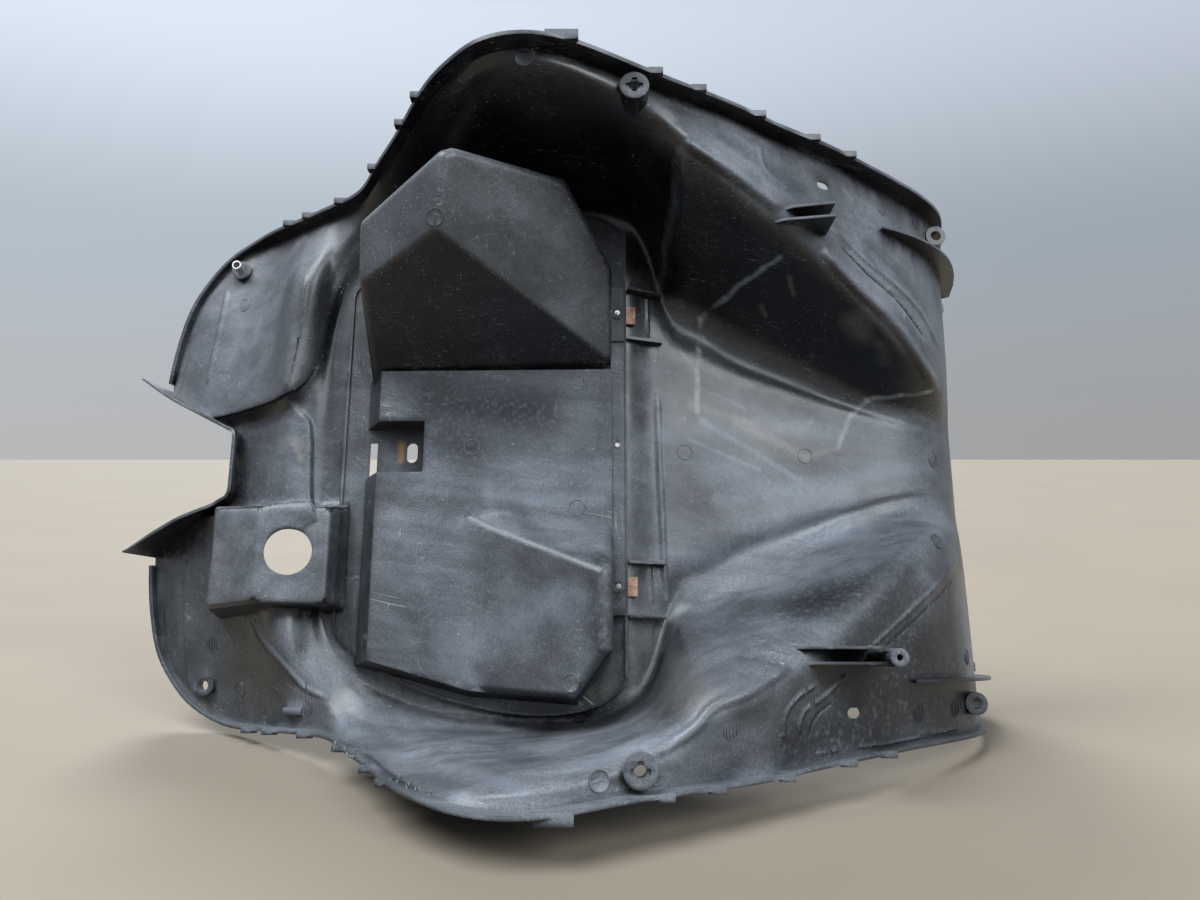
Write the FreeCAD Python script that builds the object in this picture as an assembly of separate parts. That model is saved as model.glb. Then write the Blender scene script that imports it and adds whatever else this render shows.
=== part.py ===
"""Inner leg shield panel of a scooter, with the moulded glovebox tub behind it.

Frame: +Z runs up the shield, +X is the rider's left, -Y is the hidden side that faces the front
wheel. X = 0 is the plane of symmetry. While it is drawn, Y = 0 and Z = 0 lie near the tub's hinge,
and every piece is then moved so that the origin is midway between the two side bosses' holes.
All sizes are in millimetres.
"""
import FreeCAD, Part
import math
import os
from FreeCAD import Vector

os.makedirs("parts", exist_ok=True)

# Driving dimensions of the shield moulding
SHIELD_WALL = 2.5
LIP_WALL = 2.8
LIP_ROOT = 3.0
LIP_DRAFT = 0.6
LIP_OVERLAP = 0.3

# Steering notch
NOTCH_FLOOR_Z = 291.0
NOTCH_FLOOR_HALF = 20.0
NOTCH_CORNER_R = 9.0
COLLAR_WALL = 2.4
COLLAR_HEIGHT = 17.0
HORN_HEIGHT = 42.0

# Ignition lock housing
LOCK_X = -76.0
LOCK_Z = 222.0
LOCK_Y = -10.0
LOCK_HOLE_R = 16.5
LOCK_FACE_SLOPE = -0.21
LOCK_HOUSING_LOW_Z = 195.0
LOCK_HOUSING_RIDGE_Z = 243.0
LOCK_HOUSING_TOP_Z = 287.0
LOCK_HOUSING_TOP_Y = 12.0
LOCK_HOUSING_INNER_X = -44.0
LOCK_HOUSING_OUTER_X = -112.0
LOCK_HOUSING_DRAFT = 0.12

# Side fixing bosses, near the knee of the rim
SIDE_BOSS_X = 209.0
SIDE_BOSS_Z = -22.0
SIDE_BOSS_FACE_Y = -138.0
SIDE_BOSS_R = 9.5
SIDE_BOSS_HOLE_R = 3.6
SIDE_BOSS_CROSS_HALF = 5.6
SIDE_BOSS_CROSS_WIDTH = 3.4
SIDE_BOSS_CROSS_DEPTH = 1.4
ORIGIN_BELOW_BOSS_FACE = 4.0

# Top fixing bosses
TOP_BOSS_X = 171.0
TOP_BOSS_Z = 305.0
TOP_BOSS_FACE_Y = 64.0
TOP_BOSS_R = 8.0
TOP_BOSS_HOLE_R = 3.9
SLEEVE_BORE_R = 2.6
SLEEVE_FIT = 0.1
SLEEVE_FRONT_Y = 53.0
SLEEVE_BACK_Y = 79.0

# Screw slots beside the lower edge
SLOT_X = 183.5
SLOT_Z = -161.0
SLOT_LENGTH = 9.5
SLOT_WIDTH = 6.5

# Lower brackets: two ribs each, and a screw post on the right-hand pair
BRACKET_X = 143.0
BRACKET_GAP = 9.5
BRACKET_WALL = 1.8
BRACKET_TOP_Y = -84.0
BRACKET_START_Z = -113.0
BRACKET_END_Z = -160.0
BRACKET_LONG_END_Z = -174.0
POST_X = -149.0
POST_Z = -180.0
POST_FACE_Y = -96.0
POST_R = 5.6
POST_HOLE_R = 1.9
POST_HOLE_DEPTH = 24.0

# Curved ribs and small parts of the bottom end
END_RIB_X = 165.0
END_RIB_WALL = 2.2
END_RIB_HEIGHT = 15.0
END_RIB_START_Z = -212.0
END_RIB_STOP_Z = -303.0
END_LUG_X = 158.0
END_LUG_WIDTH = 7.0
END_LUG_LENGTH = 9.0
END_LUG_WALL = 3.0
RING_BOSS_X = 182.0
RING_BOSS_Z = -271.0
RING_BOSS_R = 8.0
RING_BOSS_HOLE_R = 4.0
RING_BOSS_HEIGHT = 7.0

# Tabs along the lip
TAB_LENGTH = 10.0
TAB_OUT = 1.6
TAB_UP = 1.4
TAB_DOWN = 5.0
KNEE_TAB_LENGTH = 21.0
KNEE_TAB_OUT = 4.0
TAB_PLACES = (258.0, 238.0, 205.0, 168.0, 138.0, 122.0, -36.0, -66.0, -110.0, -152.0, -182.0)
KNEE_TAB_Z = 24.0
WING_CLIP_X = -187.0
WING_CLIP_Z = 219.0
WING_CLIP_LENGTH = 13.0
WING_CLIP_WIDTH = 5.0
WING_CLIP_HEIGHT = 4.0

# Ribs across the hinge channel
CHANNEL_RIB_OUT_X = 121.5
CHANNEL_RIB_IN_X = 83.5
CHANNEL_RIB_WALL = 2.2
CHANNEL_RIB_TOP_Y = -17.0
CHANNEL_RIB_END_Y = -3.0
CHANNEL_RIB_START_Z = -20.5
CHANNEL_RIB_END_Z = -47.0

# Glovebox tub
TUB_WALL = 2.2
TUB_PLANE_Y = -8.1
TUB_PLANE_SLOPE = 0.1436
TUB_TOP_Z = 195.0
TUB_LOW_Z = -19.5
OPENING_INSET = 11.0
POCKET_ROUND = 7.0
POCKET_DRAFT = 0.09
UPPER_POCKET_DRAFT = 0.04
POCKET_LOW_Z = -8.5
UPPER_POCKET_OUTER_X = 183.0
LOWER_POCKET_OUTER_X = 177.0
TUB_SIDE_TAPER = 0.11
TUB_END_TAPER = 0.294
MIDDLE_TOP_Z = 168.0
MIDDLE_LEFT_X = 57.0
MIDDLE_Y = -17.0
RECESS_HALF = 19.0
RECESS_LOW_Z = 128.0
RECESS_TOP_Z = 158.0
FRAME_SLOT_Z = 141.0
FRAME_SLOT_LENGTH = 15.0
FRAME_SLOT_WIDTH = 8.5
LATCH_SLOT_Z = 171.0
LATCH_SLOT_HEIGHT = 6.0
LATCH_SLOT_LENGTH = 27.0
LATCH_SLOT_X = -5.0

# Hinge strip of the tub, with raised ends that carry the hinge screws
STRIP_LOW_Z = -17.6
STRIP_TOP_Z = -8.0
STRIP_HALF_LENGTH = 121.0
STRIP_THICKNESS = 2.4
STRIP_END_INNER_X = 79.0
STRIP_END_THICKNESS = 1.6
TUB_LIP_WIDTH = 2.2
TUB_LIP_HEIGHT = 1.3

# Hinge screws, their bosses and the steel clip plates under the strip
HINGE_SCREW_X = 101.0
HINGE_SCREW_Z = -13.0
HINGE_BOSS_R = 4.8
HINGE_BOSS_HEIGHT = 0.8
SCREW_SHANK_R = 1.7
SCREW_CLEARANCE = 0.15
SCREW_TIP_Y = -19.6
SCREW_TIP_LENGTH = 1.4
SCREW_HEAD_R = 3.6
SCREW_HEAD_HEIGHT = 2.2
SCREW_SEAT_Y = -6.0
CLIP_WIDTH = 13.6
CLIP_WALL = 0.8
CLIP_BACK_Y = -10.85
CLIP_TOP_Z = -8.9
CLIP_LOW_Z = -26.5
CLIP_LIP = 3.2
CLIP_CLEARANCE = 0.15
PEG_Z = -12.5
PEG_R = 2.3
PEG_HEIGHT = 1.6
PEG_SHANK_R = 1.3
PEG_BACK_Y = -5.6

# Sections across the shield, from the top edge down. Each gives its height, the depth at the
# centre, then x and depth of the foot of the wall, the crest, the outer bead and the edge.
SECTIONS = (
    (365.0, 92.0, (28.0, 92.0), (42.0, 90.0), (60.0, 90.0), (77.0, 91.0)),
    (362.0, 91.0, (29.0, 91.0), (45.0, 88.0), (72.0, 88.0), (100.0, 90.0)),
    (356.0, 88.0, (30.0, 88.0), (46.0, 85.0), (88.0, 86.0), (126.0, 88.0)),
    (348.0, 85.0, (30.0, 85.0), (46.0, 80.0), (106.0, 82.0), (148.0, 86.0)),
    (335.0, 80.0, (30.0, 80.0), (46.0, 73.0), (124.0, 76.0), (166.0, 82.0)),
    (316.0, 70.0, (30.0, 70.0), (46.0, 61.0), (134.0, 68.0), (183.0, 75.0)),
    (296.0, 61.0, (31.0, 61.0), (46.0, 49.0), (138.0, 60.0), (193.5, 70.0)),
    (276.0, 49.0, (32.0, 49.0), (47.0, 35.0), (136.0, 47.0), (198.5, 62.0)),
    (256.0, 35.0, (33.0, 35.0), (48.0, 20.0), (133.0, 30.0), (199.5, 49.0)),
    (244.0, 26.0, (34.0, 26.0), (49.0, 8.0), (131.0, 15.0), (199.5, 41.0)),
    (238.0, 22.0, (35.0, 22.0), (51.0, 5.0), (130.0, 8.0), (199.5, 37.0)),
    (229.0, 19.0, (38.0, 18.5), (58.0, 9.0), (132.0, 3.5), (199.5, 30.0)),
    (215.0, 20.0, (60.0, 19.0), (100.0, 14.0), (150.0, 8.0), (199.5, 20.0)),
    (203.0, 21.2, (122.0, 21.2), (150.0, 15.0), (170.0, 10.0), (199.8, 12.0)),
    (188.0, 19.1, (148.0, 19.1), (172.0, 11.0), (186.0, 4.0), (200.5, 0.0)),
    (167.0, 16.1, (165.0, 16.1), (189.0, -2.0), (197.0, -16.0), (204.5, -31.0)),
    (147.0, 13.2, (175.0, 13.2), (197.0, -17.0), (203.5, -38.0), (209.0, -61.0)),
    (127.0, 10.3, (182.0, 10.3), (204.0, -36.0), (209.5, -64.0), (214.0, -94.0)),
    (110.0, 7.9, (186.0, 7.9), (208.5, -62.0), (214.0, -94.0), (218.5, -118.0)),
    (95.0, 5.7, (188.5, 5.7), (212.0, -94.0), (216.5, -117.0), (221.5, -133.0)),
    (77.0, 3.2, (190.5, 3.2), (214.5, -123.0), (219.0, -139.0), (224.5, -146.0)),
    (51.0, -0.6, (191.5, -0.6), (214.5, -140.0), (219.5, -149.0), (227.0, -151.0)),
    (22.0, -4.7, (191.0, -4.7), (210.5, -139.0), (216.5, -146.5), (226.0, -147.0)),
    (-5.0, -8.6, (186.0, -8.6), (204.5, -131.0), (211.5, -137.0), (223.0, -136.0)),
    (-13.0, -9.3, (182.5, -9.2), (202.5, -128.0), (210.0, -133.2), (222.3, -132.0)),
    (-21.0, -8.2, (178.0, -8.8), (200.3, -124.6), (208.4, -129.2), (221.6, -127.6)),
    (-29.0, -3.5, (171.0, -5.0), (197.8, -120.7), (206.9, -124.6), (221.1, -123.5)),
    (-38.0, 1.5, (156.0, 0.5), (194.6, -117.0), (205.6, -120.0), (220.6, -118.5)),
    (-48.0, 3.5, (130.0, 5.5), (188.0, -116.0), (202.0, -116.0), (220.0, -113.0)),
    (-58.0, 5.5, (112.0, 8.0), (180.0, -116.0), (198.0, -112.0), (219.4, -108.0)),
    (-75.0, 8.0, (103.0, 11.0), (171.0, -113.0), (193.0, -106.0), (218.5, -99.0)),
    (-97.0, 11.0, (90.0, 14.0), (161.0, -102.0), (187.0, -94.0), (217.0, -87.0)),
    (-122.0, 15.0, (78.0, 17.5), (149.0, -87.0), (176.0, -80.0), (213.8, -73.0)),
    (-147.0, 19.5, (68.0, 21.0), (133.5, -72.0), (161.0, -66.0), (210.3, -62.0)),
    (-173.0, 24.0, (57.0, 25.0), (115.0, -57.0), (144.0, -53.0), (207.3, -48.0)),
    (-197.0, 27.5, (48.0, 28.0), (96.0, -42.0), (125.0, -38.5), (205.0, -31.0)),
    (-220.0, 31.0, (40.0, 31.0), (79.0, -24.5), (107.0, -25.5), (203.4, -14.0)),
    (-245.0, 37.0, (34.0, 37.0), (68.0, -1.0), (90.0, -4.0), (202.0, 6.0)),
    (-262.0, 47.0, (32.0, 47.0), (63.0, 21.0), (86.0, 18.0), (201.0, 22.0)),
    (-276.0, 60.0, (31.0, 60.0), (61.0, 44.0), (84.0, 41.0), (200.0, 39.0)),
    (-288.0, 77.0, (31.0, 77.0), (61.0, 69.0), (84.0, 66.0), (198.5, 61.0)),
    (-297.0, 96.0, (31.0, 96.0), (61.0, 93.0), (84.0, 91.0), (196.0, 86.0)),
    (-304.0, 123.0, (31.0, 123.0), (61.0, 123.0), (84.0, 122.0), (192.0, 120.0)),
)
# Height of the lip around the edge, against the height on the shield
LIP_HEIGHTS = (
    (365.0, 5.0), (335.0, 5.0), (300.0, 7.0), (276.0, 11.0), (200.0, 12.0), (50.0, 13.0),
    (-160.0, 13.0), (-215.0, 16.0), (-255.0, 17.0), (-278.0, 16.0), (-292.0, 7.0), (-304.0, 4.0),
)
COLUMNS_PER_SPAN = 2
ROWS_PER_SPAN = 1


def monotone(xs, ys):
    """A smooth curve through rising xs that never overshoots between its points."""
    n = len(xs)
    steps = [xs[i + 1] - xs[i] for i in range(n - 1)]
    slopes = [(ys[i + 1] - ys[i]) / steps[i] for i in range(n - 1)]
    tangents = [slopes[0]]
    for i in range(1, n - 1):
        if slopes[i - 1] * slopes[i] <= 0.0:
            tangents.append(0.0)
            continue
        before = 2.0 * steps[i] + steps[i - 1]
        after = steps[i] + 2.0 * steps[i - 1]
        tangents.append((before + after) / (before / slopes[i - 1] + after / slopes[i]))
    tangents.append(slopes[-1])

    def value(x):
        x = min(max(x, xs[0]), xs[-1])
        i = 0
        while i < n - 2 and x > xs[i + 1]:
            i += 1
        t = (x - xs[i]) / steps[i]
        h = steps[i]
        return ((1 + 2 * t) * (1 - t) ** 2 * ys[i] + t * (1 - t) ** 2 * h * tangents[i]
                + t * t * (3 - 2 * t) * ys[i + 1] + t * t * (t - 1) * h * tangents[i + 1])

    return value


def half_section(section):
    """The control points of one section, from the centre out to the edge."""
    height, centre, foot, crest, bead, edge = section
    run = crest[0] - foot[0]
    rise = crest[1] - foot[1]
    return [
        (0.0, centre),
        (foot[0] * 0.5, centre * 0.75 + foot[1] * 0.25),
        foot,
        (foot[0] + run * 0.24, foot[1] + rise * 0.12),
        (foot[0] + run * 0.55, foot[1] + rise * 0.50),
        (foot[0] + run * 0.86, foot[1] + rise * 0.90),
        (crest[0] + (bead[0] - crest[0]) * 0.30, crest[1] + (bead[1] - crest[1]) * 0.30),
        bead,
        (bead[0] + (edge[0] - bead[0]) * 0.55, bead[1] + (edge[1] - bead[1]) * 0.55),
        edge,
    ]


def half_grid():
    """Rows of points from the top edge down, each from the centre out to the edge."""
    heights = [section[0] for section in SECTIONS]
    rising = [-z for z in heights]
    halves = [half_section(section) for section in SECTIONS]
    spans = len(halves[0]) - 1
    rows = []
    for half in halves:
        index = list(range(spans + 1))
        across = monotone(index, [p[0] for p in half])
        depth = monotone(index, [p[1] for p in half])
        places = [k / COLUMNS_PER_SPAN for k in range(spans * COLUMNS_PER_SPAN + 1)]
        rows.append([(across(t), depth(t)) for t in places])
    columns = len(rows[0])
    x_tracks = [monotone(rising, [row[c][0] for row in rows]) for c in range(columns)]
    y_tracks = [monotone(rising, [row[c][1] for row in rows]) for c in range(columns)]
    grid = []
    for i in range(len(rising) - 1):
        for k in range(ROWS_PER_SPAN):
            down = rising[i] + (rising[i + 1] - rising[i]) * k / ROWS_PER_SPAN
            grid.append([Vector(x_tracks[c](down), y_tracks[c](down), -down) for c in range(columns)])
    grid.append([Vector(x_tracks[c](rising[-1]), y_tracks[c](rising[-1]), -rising[-1])
                 for c in range(columns)])
    return grid


def full_grid(half):
    grid = []
    for row in half:
        mirrored = [Vector(-p.x, p.y, p.z) for p in reversed(row[1:])]
        grid.append(mirrored + row)
    return grid


def offset_grid(grid, distance):
    """The grid moved along its own normals towards the rider's side."""
    rows = len(grid)
    columns = len(grid[0])
    moved = []
    for i in range(rows):
        line = []
        for j in range(columns):
            along = grid[min(i + 1, rows - 1)][j] - grid[max(i - 1, 0)][j]
            across = grid[i][min(j + 1, columns - 1)] - grid[i][max(j - 1, 0)]
            normal = along.cross(across)
            if normal.y < 0:
                normal = normal * -1.0
            normal.normalize()
            line.append(grid[i][j] + normal * distance)
        moved.append(line)
    return moved


def surface_face(grid):
    surface = Part.BSplineSurface()
    surface.interpolate(grid)
    return surface.toShape()


def edge_curve(points):
    curve = Part.BSplineCurve()
    curve.interpolate(points)
    return curve.toShape()


def closed_solid(faces):
    shell = Part.Shell(Part.makeShell(faces).Faces)
    shell.sewShape()
    solid = Part.Solid(shell)
    if solid.Volume < 0:
        solid.reverse()
    return solid


def sheet_solid(front, back):
    """A closed wall between two surface grids of the same size."""
    front_face = surface_face(front)
    back_face = surface_face(back)
    sides = []
    for near in front_face.Edges:
        middle = near.valueAt((near.FirstParameter + near.LastParameter) / 2)
        far = min(back_face.Edges, key=lambda e: middle.distanceToPoint(
            e.valueAt((e.FirstParameter + e.LastParameter) / 2)))
        sides.append(Part.makeRuledSurface(near, far))
    return front_face, closed_solid([front_face, back_face] + sides)


def strip_solid(tracks):
    """A bar with four smooth long faces. tracks holds the points of its four corners in order."""
    edges = [edge_curve(track) for track in tracks]
    faces = [Part.makeRuledSurface(edges[k], edges[(k + 1) % 4]) for k in range(4)]
    for end in (0, -1):
        corners = [track[end] for track in tracks]
        faces.append(Part.makeRuledSurface(Part.makeLine(corners[0], corners[1]),
                                           Part.makeLine(corners[3], corners[2])))
    return closed_solid(faces)


def prism_xz(points, near_y, far_y):
    """An upright prism along Y over a polygon given by x and z."""
    wire = Part.makePolygon([Vector(x, near_y, z) for x, z in points + [points[0]]])
    return Part.Face(wire).extrude(Vector(0, far_y - near_y, 0))


def prism_zy(points, low_x, high_x):
    """A prism along X over a polygon given by z and y."""
    wire = Part.makePolygon([Vector(low_x, y, z) for z, y in points + [points[0]]])
    return Part.Face(wire).extrude(Vector(high_x - low_x, 0, 0))


def prism_xy(points, low_z, high_z):
    """A prism along Z over a polygon given by x and y."""
    wire = Part.makePolygon([Vector(x, y, low_z) for x, y in points + [points[0]]])
    return Part.Face(wire).extrude(Vector(0, 0, high_z - low_z))


def box(low, high):
    return Part.makeBox(high[0] - low[0], high[1] - low[1], high[2] - low[2], Vector(*low))


def rod(x, z, radius, near_y, far_y):
    return Part.makeCylinder(radius, far_y - near_y, Vector(x, near_y, z), Vector(0, 1, 0))


def slot_along_z(x, z, length, width, near_y, far_y):
    half = (length - width) / 2
    body = box((x - width / 2, near_y, z - half), (x + width / 2, far_y, z + half))
    return body.fuse([rod(x, z + half, width / 2, near_y, far_y),
                      rod(x, z - half, width / 2, near_y, far_y)]).removeSplitter()


def half_space(point, normal, size=600.0):
    """A large block that fills the side of a plane that its normal points away from."""
    direction = Vector(*normal)
    direction.normalize()
    block = Part.makeBox(2 * size, 2 * size, size, Vector(-size, -size, -size))
    block.Placement = FreeCAD.Placement(Vector(*point), FreeCAD.Rotation(Vector(0, 0, 1), direction))
    return block


def convex(planes, inset):
    """The solid inside all planes, each moved inwards by the inset."""
    shape = None
    for point, normal in planes:
        direction = Vector(*normal)
        direction.normalize()
        moved = Vector(*point) - direction * inset
        block = half_space((moved.x, moved.y, moved.z), normal)
        shape = block if shape is None else shape.common(block)
    return shape


def depth_at(face, x, z):
    """Depth of the shield's hidden face at one place."""
    ray = Part.makeLine(Vector(x, -400, z), Vector(x, 400, z))
    hits = face.section(ray).Vertexes
    return min(vertex.Point.y for vertex in hits)


def export(shape, name):
    shape = shape.removeSplitter()
    shape.translate(Vector(0.0, -SIDE_BOSS_FACE_Y - ORIGIN_BELOW_BOSS_FACE, -SIDE_BOSS_Z))
    print(name, "solids", len(shape.Solids), "volume", round(shape.Volume), "valid", shape.isValid())
    shape.exportStep("parts/" + name + ".step")


def rim_tracks(half, side):
    """Corner tracks of the lip that follows one side of the edge."""
    edge = [Vector(side * row[-1].x, row[-1].y, row[-1].z) for row in half]
    lip = monotone([-z for z, _ in LIP_HEIGHTS], [h for _, h in LIP_HEIGHTS])
    tracks = [[], [], [], []]
    last = len(edge) - 1
    for i, point in enumerate(edge):
        run = edge[min(i + 1, last)] - edge[max(i - 1, 0)]
        outward = Vector(-run.z, 0, run.x)
        if outward.x * side < 0:
            outward = outward * -1.0
        outward.normalize()
        height = lip(-point.z)
        outer = point + outward * (LIP_WALL - LIP_OVERLAP)
        inner = point - outward * LIP_OVERLAP
        tip = Vector(0, -height, 0)
        root = Vector(0, LIP_ROOT, 0)
        tracks[0].append(outer + root - outward * LIP_DRAFT)
        tracks[1].append(outer + tip)
        tracks[2].append(inner + tip)
        tracks[3].append(inner + root - outward * LIP_DRAFT)
    return tracks


def lip_tab(half, side, z, length, out, up, down):
    """A small tab on the outside of the lip."""
    heights = [-row[-1].z for row in half]
    x = monotone(heights, [row[-1].x for row in half])(-z) + LIP_WALL
    lip = monotone([-h for h, _ in LIP_HEIGHTS], [h for _, h in LIP_HEIGHTS])(-z)
    tip = monotone(heights, [row[-1].y for row in half])(-z) - lip
    low, high = sorted((side * (x - LIP_WALL), side * (x + out)))
    return box((low, tip - up, z - length / 2), (high, tip + down, z + length / 2))


def notch_outline():
    """Half of the steering notch, from the centre line out to the horn."""
    corner = NOTCH_FLOOR_HALF + NOTCH_CORNER_R
    return [
        (0.0, NOTCH_FLOOR_Z), (NOTCH_FLOOR_HALF, NOTCH_FLOOR_Z),
        (NOTCH_FLOOR_HALF + 0.7 * NOTCH_CORNER_R, NOTCH_FLOOR_Z + 0.3 * NOTCH_CORNER_R),
        (corner, NOTCH_FLOOR_Z + NOTCH_CORNER_R), (corner + 5.0, NOTCH_FLOOR_Z + 18.0),
        (corner + 12.0, NOTCH_FLOOR_Z + 32.0), (corner + 21.0, NOTCH_FLOOR_Z + 48.0),
        (corner + 31.0, NOTCH_FLOOR_Z + 62.0), (corner + 41.0, NOTCH_FLOOR_Z + 74.0),
    ]


def smooth_line(points, count):
    index = list(range(len(points)))
    tracks = [monotone(index, [p[k] for p in points]) for k in range(len(points[0]))]
    places = [index[-1] * k / (count - 1) for k in range(count)]
    return [tuple(track(t) for track in tracks) for t in places]


def collar(face):
    """The flange that stands around the steering notch and ends in two horns."""
    half = smooth_line(notch_outline(), 19)
    line = [(-x, z) for x, z in reversed(half[1:])] + half
    count = len(line)
    top_z = SECTIONS[0][0] - 1.0
    tracks = [[], [], [], []]
    for i, (x, z) in enumerate(line):
        ahead = line[min(i + 1, count - 1)]
        behind = line[max(i - 1, 0)]
        run = Vector(ahead[0] - behind[0], 0, ahead[1] - behind[1])
        inward = Vector(-run.z, 0, run.x)
        inward.normalize()
        reach = abs(i - count // 2) / (count // 2)
        height = COLLAR_HEIGHT + (HORN_HEIGHT - COLLAR_HEIGHT) * max(0.0, reach - 0.45) / 0.55
        base = depth_at(face, x, min(z, top_z)) + LIP_ROOT * 0.6
        wall = COLLAR_WALL * (1.0 - 0.55 * max(0.0, reach - 0.8) / 0.2)
        lean = 6.0 * max(0.0, reach - 0.6) / 0.4
        edge = Vector(x, base, z)
        out = Vector(x, base - height, z + lean)
        tracks[0].append(edge + inward * 0.3)
        tracks[1].append(out + inward * 0.3)
        tracks[2].append(out - inward * (wall - 0.3))
        tracks[3].append(edge - inward * (wall - 0.3))
    return strip_solid(tracks)


def notch_cutter():
    half = smooth_line(notch_outline(), 19)
    high = SECTIONS[0][0] + 40.0
    line = [(-x, z) for x, z in reversed(half[1:])] + half
    far = [(half[-1][0], high), (-half[-1][0], high)]
    return prism_xz(line + far, -60.0, 160.0)


def lock_housing(inset, deep_y):
    """The raised box that carries the ignition lock, as seen from the hidden side."""
    face_low = LOCK_Y + LOCK_FACE_SLOPE * (LOCK_HOUSING_LOW_Z - LOCK_Z) + inset
    face_high = LOCK_Y + LOCK_FACE_SLOPE * (LOCK_HOUSING_RIDGE_Z - LOCK_Z) + inset
    side = 0.4
    low = LOCK_HOUSING_LOW_Z + inset
    top = LOCK_HOUSING_TOP_Z - inset
    top_y = LOCK_HOUSING_TOP_Y + inset
    profile = [
        (low, face_low), (LOCK_HOUSING_RIDGE_Z, face_high), (top, top_y),
        (top + (deep_y - top_y) * LOCK_HOUSING_DRAFT, deep_y),
        (low - (deep_y - face_low) * side, deep_y),
    ]
    near = face_high - 5.0
    inner = LOCK_HOUSING_INNER_X - inset
    outer = LOCK_HOUSING_OUTER_X + inset
    spread = (deep_y - near) * LOCK_HOUSING_DRAFT
    plan = [(outer, near), (inner, near), (inner + spread, deep_y), (outer - spread, deep_y)]
    body = prism_zy(profile, outer - 60.0, inner + 60.0)
    return body.common(prism_xy(plan, low - 60.0, top + 40.0))


def build_shield(face, wall, behind):
    """The one-piece moulding."""
    adds = []
    cuts = []

    def stand(shape):
        adds.append(shape.cut(behind))

    for side in (1, -1):
        adds.append(strip_solid(rim_tracks(HALF, side)))
        # Side boss, a pad with a cross-shaped hole
        x = side * SIDE_BOSS_X
        stand(rod(x, SIDE_BOSS_Z, SIDE_BOSS_R, SIDE_BOSS_FACE_Y, SIDE_BOSS_FACE_Y + 30.0))
        cuts.append(rod(x, SIDE_BOSS_Z, SIDE_BOSS_HOLE_R, SIDE_BOSS_FACE_Y - 5, SIDE_BOSS_FACE_Y + 40))
        for reach_x, reach_z in ((SIDE_BOSS_CROSS_HALF, SIDE_BOSS_CROSS_WIDTH / 2),
                                 (SIDE_BOSS_CROSS_WIDTH / 2, SIDE_BOSS_CROSS_HALF)):
            cuts.append(box((x - reach_x, SIDE_BOSS_FACE_Y - 5.0, SIDE_BOSS_Z - reach_z),
                            (x + reach_x, SIDE_BOSS_FACE_Y + SIDE_BOSS_CROSS_DEPTH,
                             SIDE_BOSS_Z + reach_z)))
        # Top boss
        x = side * TOP_BOSS_X
        stand(rod(x, TOP_BOSS_Z, TOP_BOSS_R, TOP_BOSS_FACE_Y, TOP_BOSS_FACE_Y + 30.0))
        cuts.append(rod(x, TOP_BOSS_Z, TOP_BOSS_HOLE_R, TOP_BOSS_FACE_Y - 5, TOP_BOSS_FACE_Y + 30))
        # Screw slot
        cuts.append(slot_along_z(side * SLOT_X, SLOT_Z, SLOT_LENGTH, SLOT_WIDTH, -120.0, 20.0))
        # Bracket ribs
        end = BRACKET_LONG_END_Z if side < 0 else BRACKET_END_Z
        for k in (0, 1):
            x = side * (BRACKET_X + k * BRACKET_GAP)
            start = BRACKET_START_Z - k * 6.0
            profile = [(start, BRACKET_TOP_Y + 8.0), (start - 14.0, BRACKET_TOP_Y),
                       (end, BRACKET_TOP_Y - 6.0), (end, 20.0), (start, 20.0)]
            stand(prism_zy(profile, x - BRACKET_WALL / 2, x + BRACKET_WALL / 2))
        # Curved rib at the bottom end
        points = []
        root = []
        for k in range(15):
            z = END_RIB_START_Z + (END_RIB_STOP_Z - END_RIB_START_Z) * k / 14
            share = k / 14
            depth = depth_at(face, side * END_RIB_X, z)
            lift = END_RIB_HEIGHT * math.sin(math.pi * min(1.0, 0.08 + share * 0.62))
            points.append((z - lift * 0.75 * share, depth - lift * (1.0 - 0.55 * share)))
            root.append((z, depth + SHIELD_WALL * 0.5))
        adds.append(prism_zy(points + root[::-1], side * END_RIB_X - END_RIB_WALL / 2,
                             side * END_RIB_X + END_RIB_WALL / 2))
        # Ring boss in the corner
        x = side * RING_BOSS_X
        depth = depth_at(face, x, RING_BOSS_Z)
        stand(rod(x, RING_BOSS_Z, RING_BOSS_R, depth - RING_BOSS_HEIGHT - 4.0, depth + 30.0))
        cuts.append(rod(x, RING_BOSS_Z, RING_BOSS_HOLE_R, depth - 40.0, depth + 40.0))
        # Ribs across the hinge channel
        for x, top in ((CHANNEL_RIB_OUT_X, CHANNEL_RIB_TOP_Y), (CHANNEL_RIB_IN_X, CHANNEL_RIB_TOP_Y + 4)):
            profile = [(CHANNEL_RIB_START_Z, top), (CHANNEL_RIB_END_Z, CHANNEL_RIB_END_Y),
                       (CHANNEL_RIB_END_Z, 40.0), (CHANNEL_RIB_START_Z, 40.0)]
            stand(prism_zy(profile, side * x - CHANNEL_RIB_WALL / 2, side * x + CHANNEL_RIB_WALL / 2))
        cuts.append(rod(side * HINGE_SCREW_X, HINGE_SCREW_Z, SCREW_SHANK_R + SCREW_CLEARANCE, -16.0, 0.0))
        # Tabs along the lip
        for place in TAB_PLACES:
            adds.append(lip_tab(HALF, side, place, TAB_LENGTH, TAB_OUT, TAB_UP, TAB_DOWN))
        adds.append(lip_tab(HALF, side, KNEE_TAB_Z, KNEE_TAB_LENGTH, KNEE_TAB_OUT, 0.0, TAB_DOWN))
        # Lug at the end of the moulding
        z = SECTIONS[-1][0]
        depth = SECTIONS[-1][5][1]
        x = side * END_LUG_X
        adds.append(box((x - END_LUG_WIDTH / 2, depth - END_LUG_WALL, z - END_LUG_LENGTH + 2.0),
                        (x + END_LUG_WIDTH / 2, depth, z + 2.0)))

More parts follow.
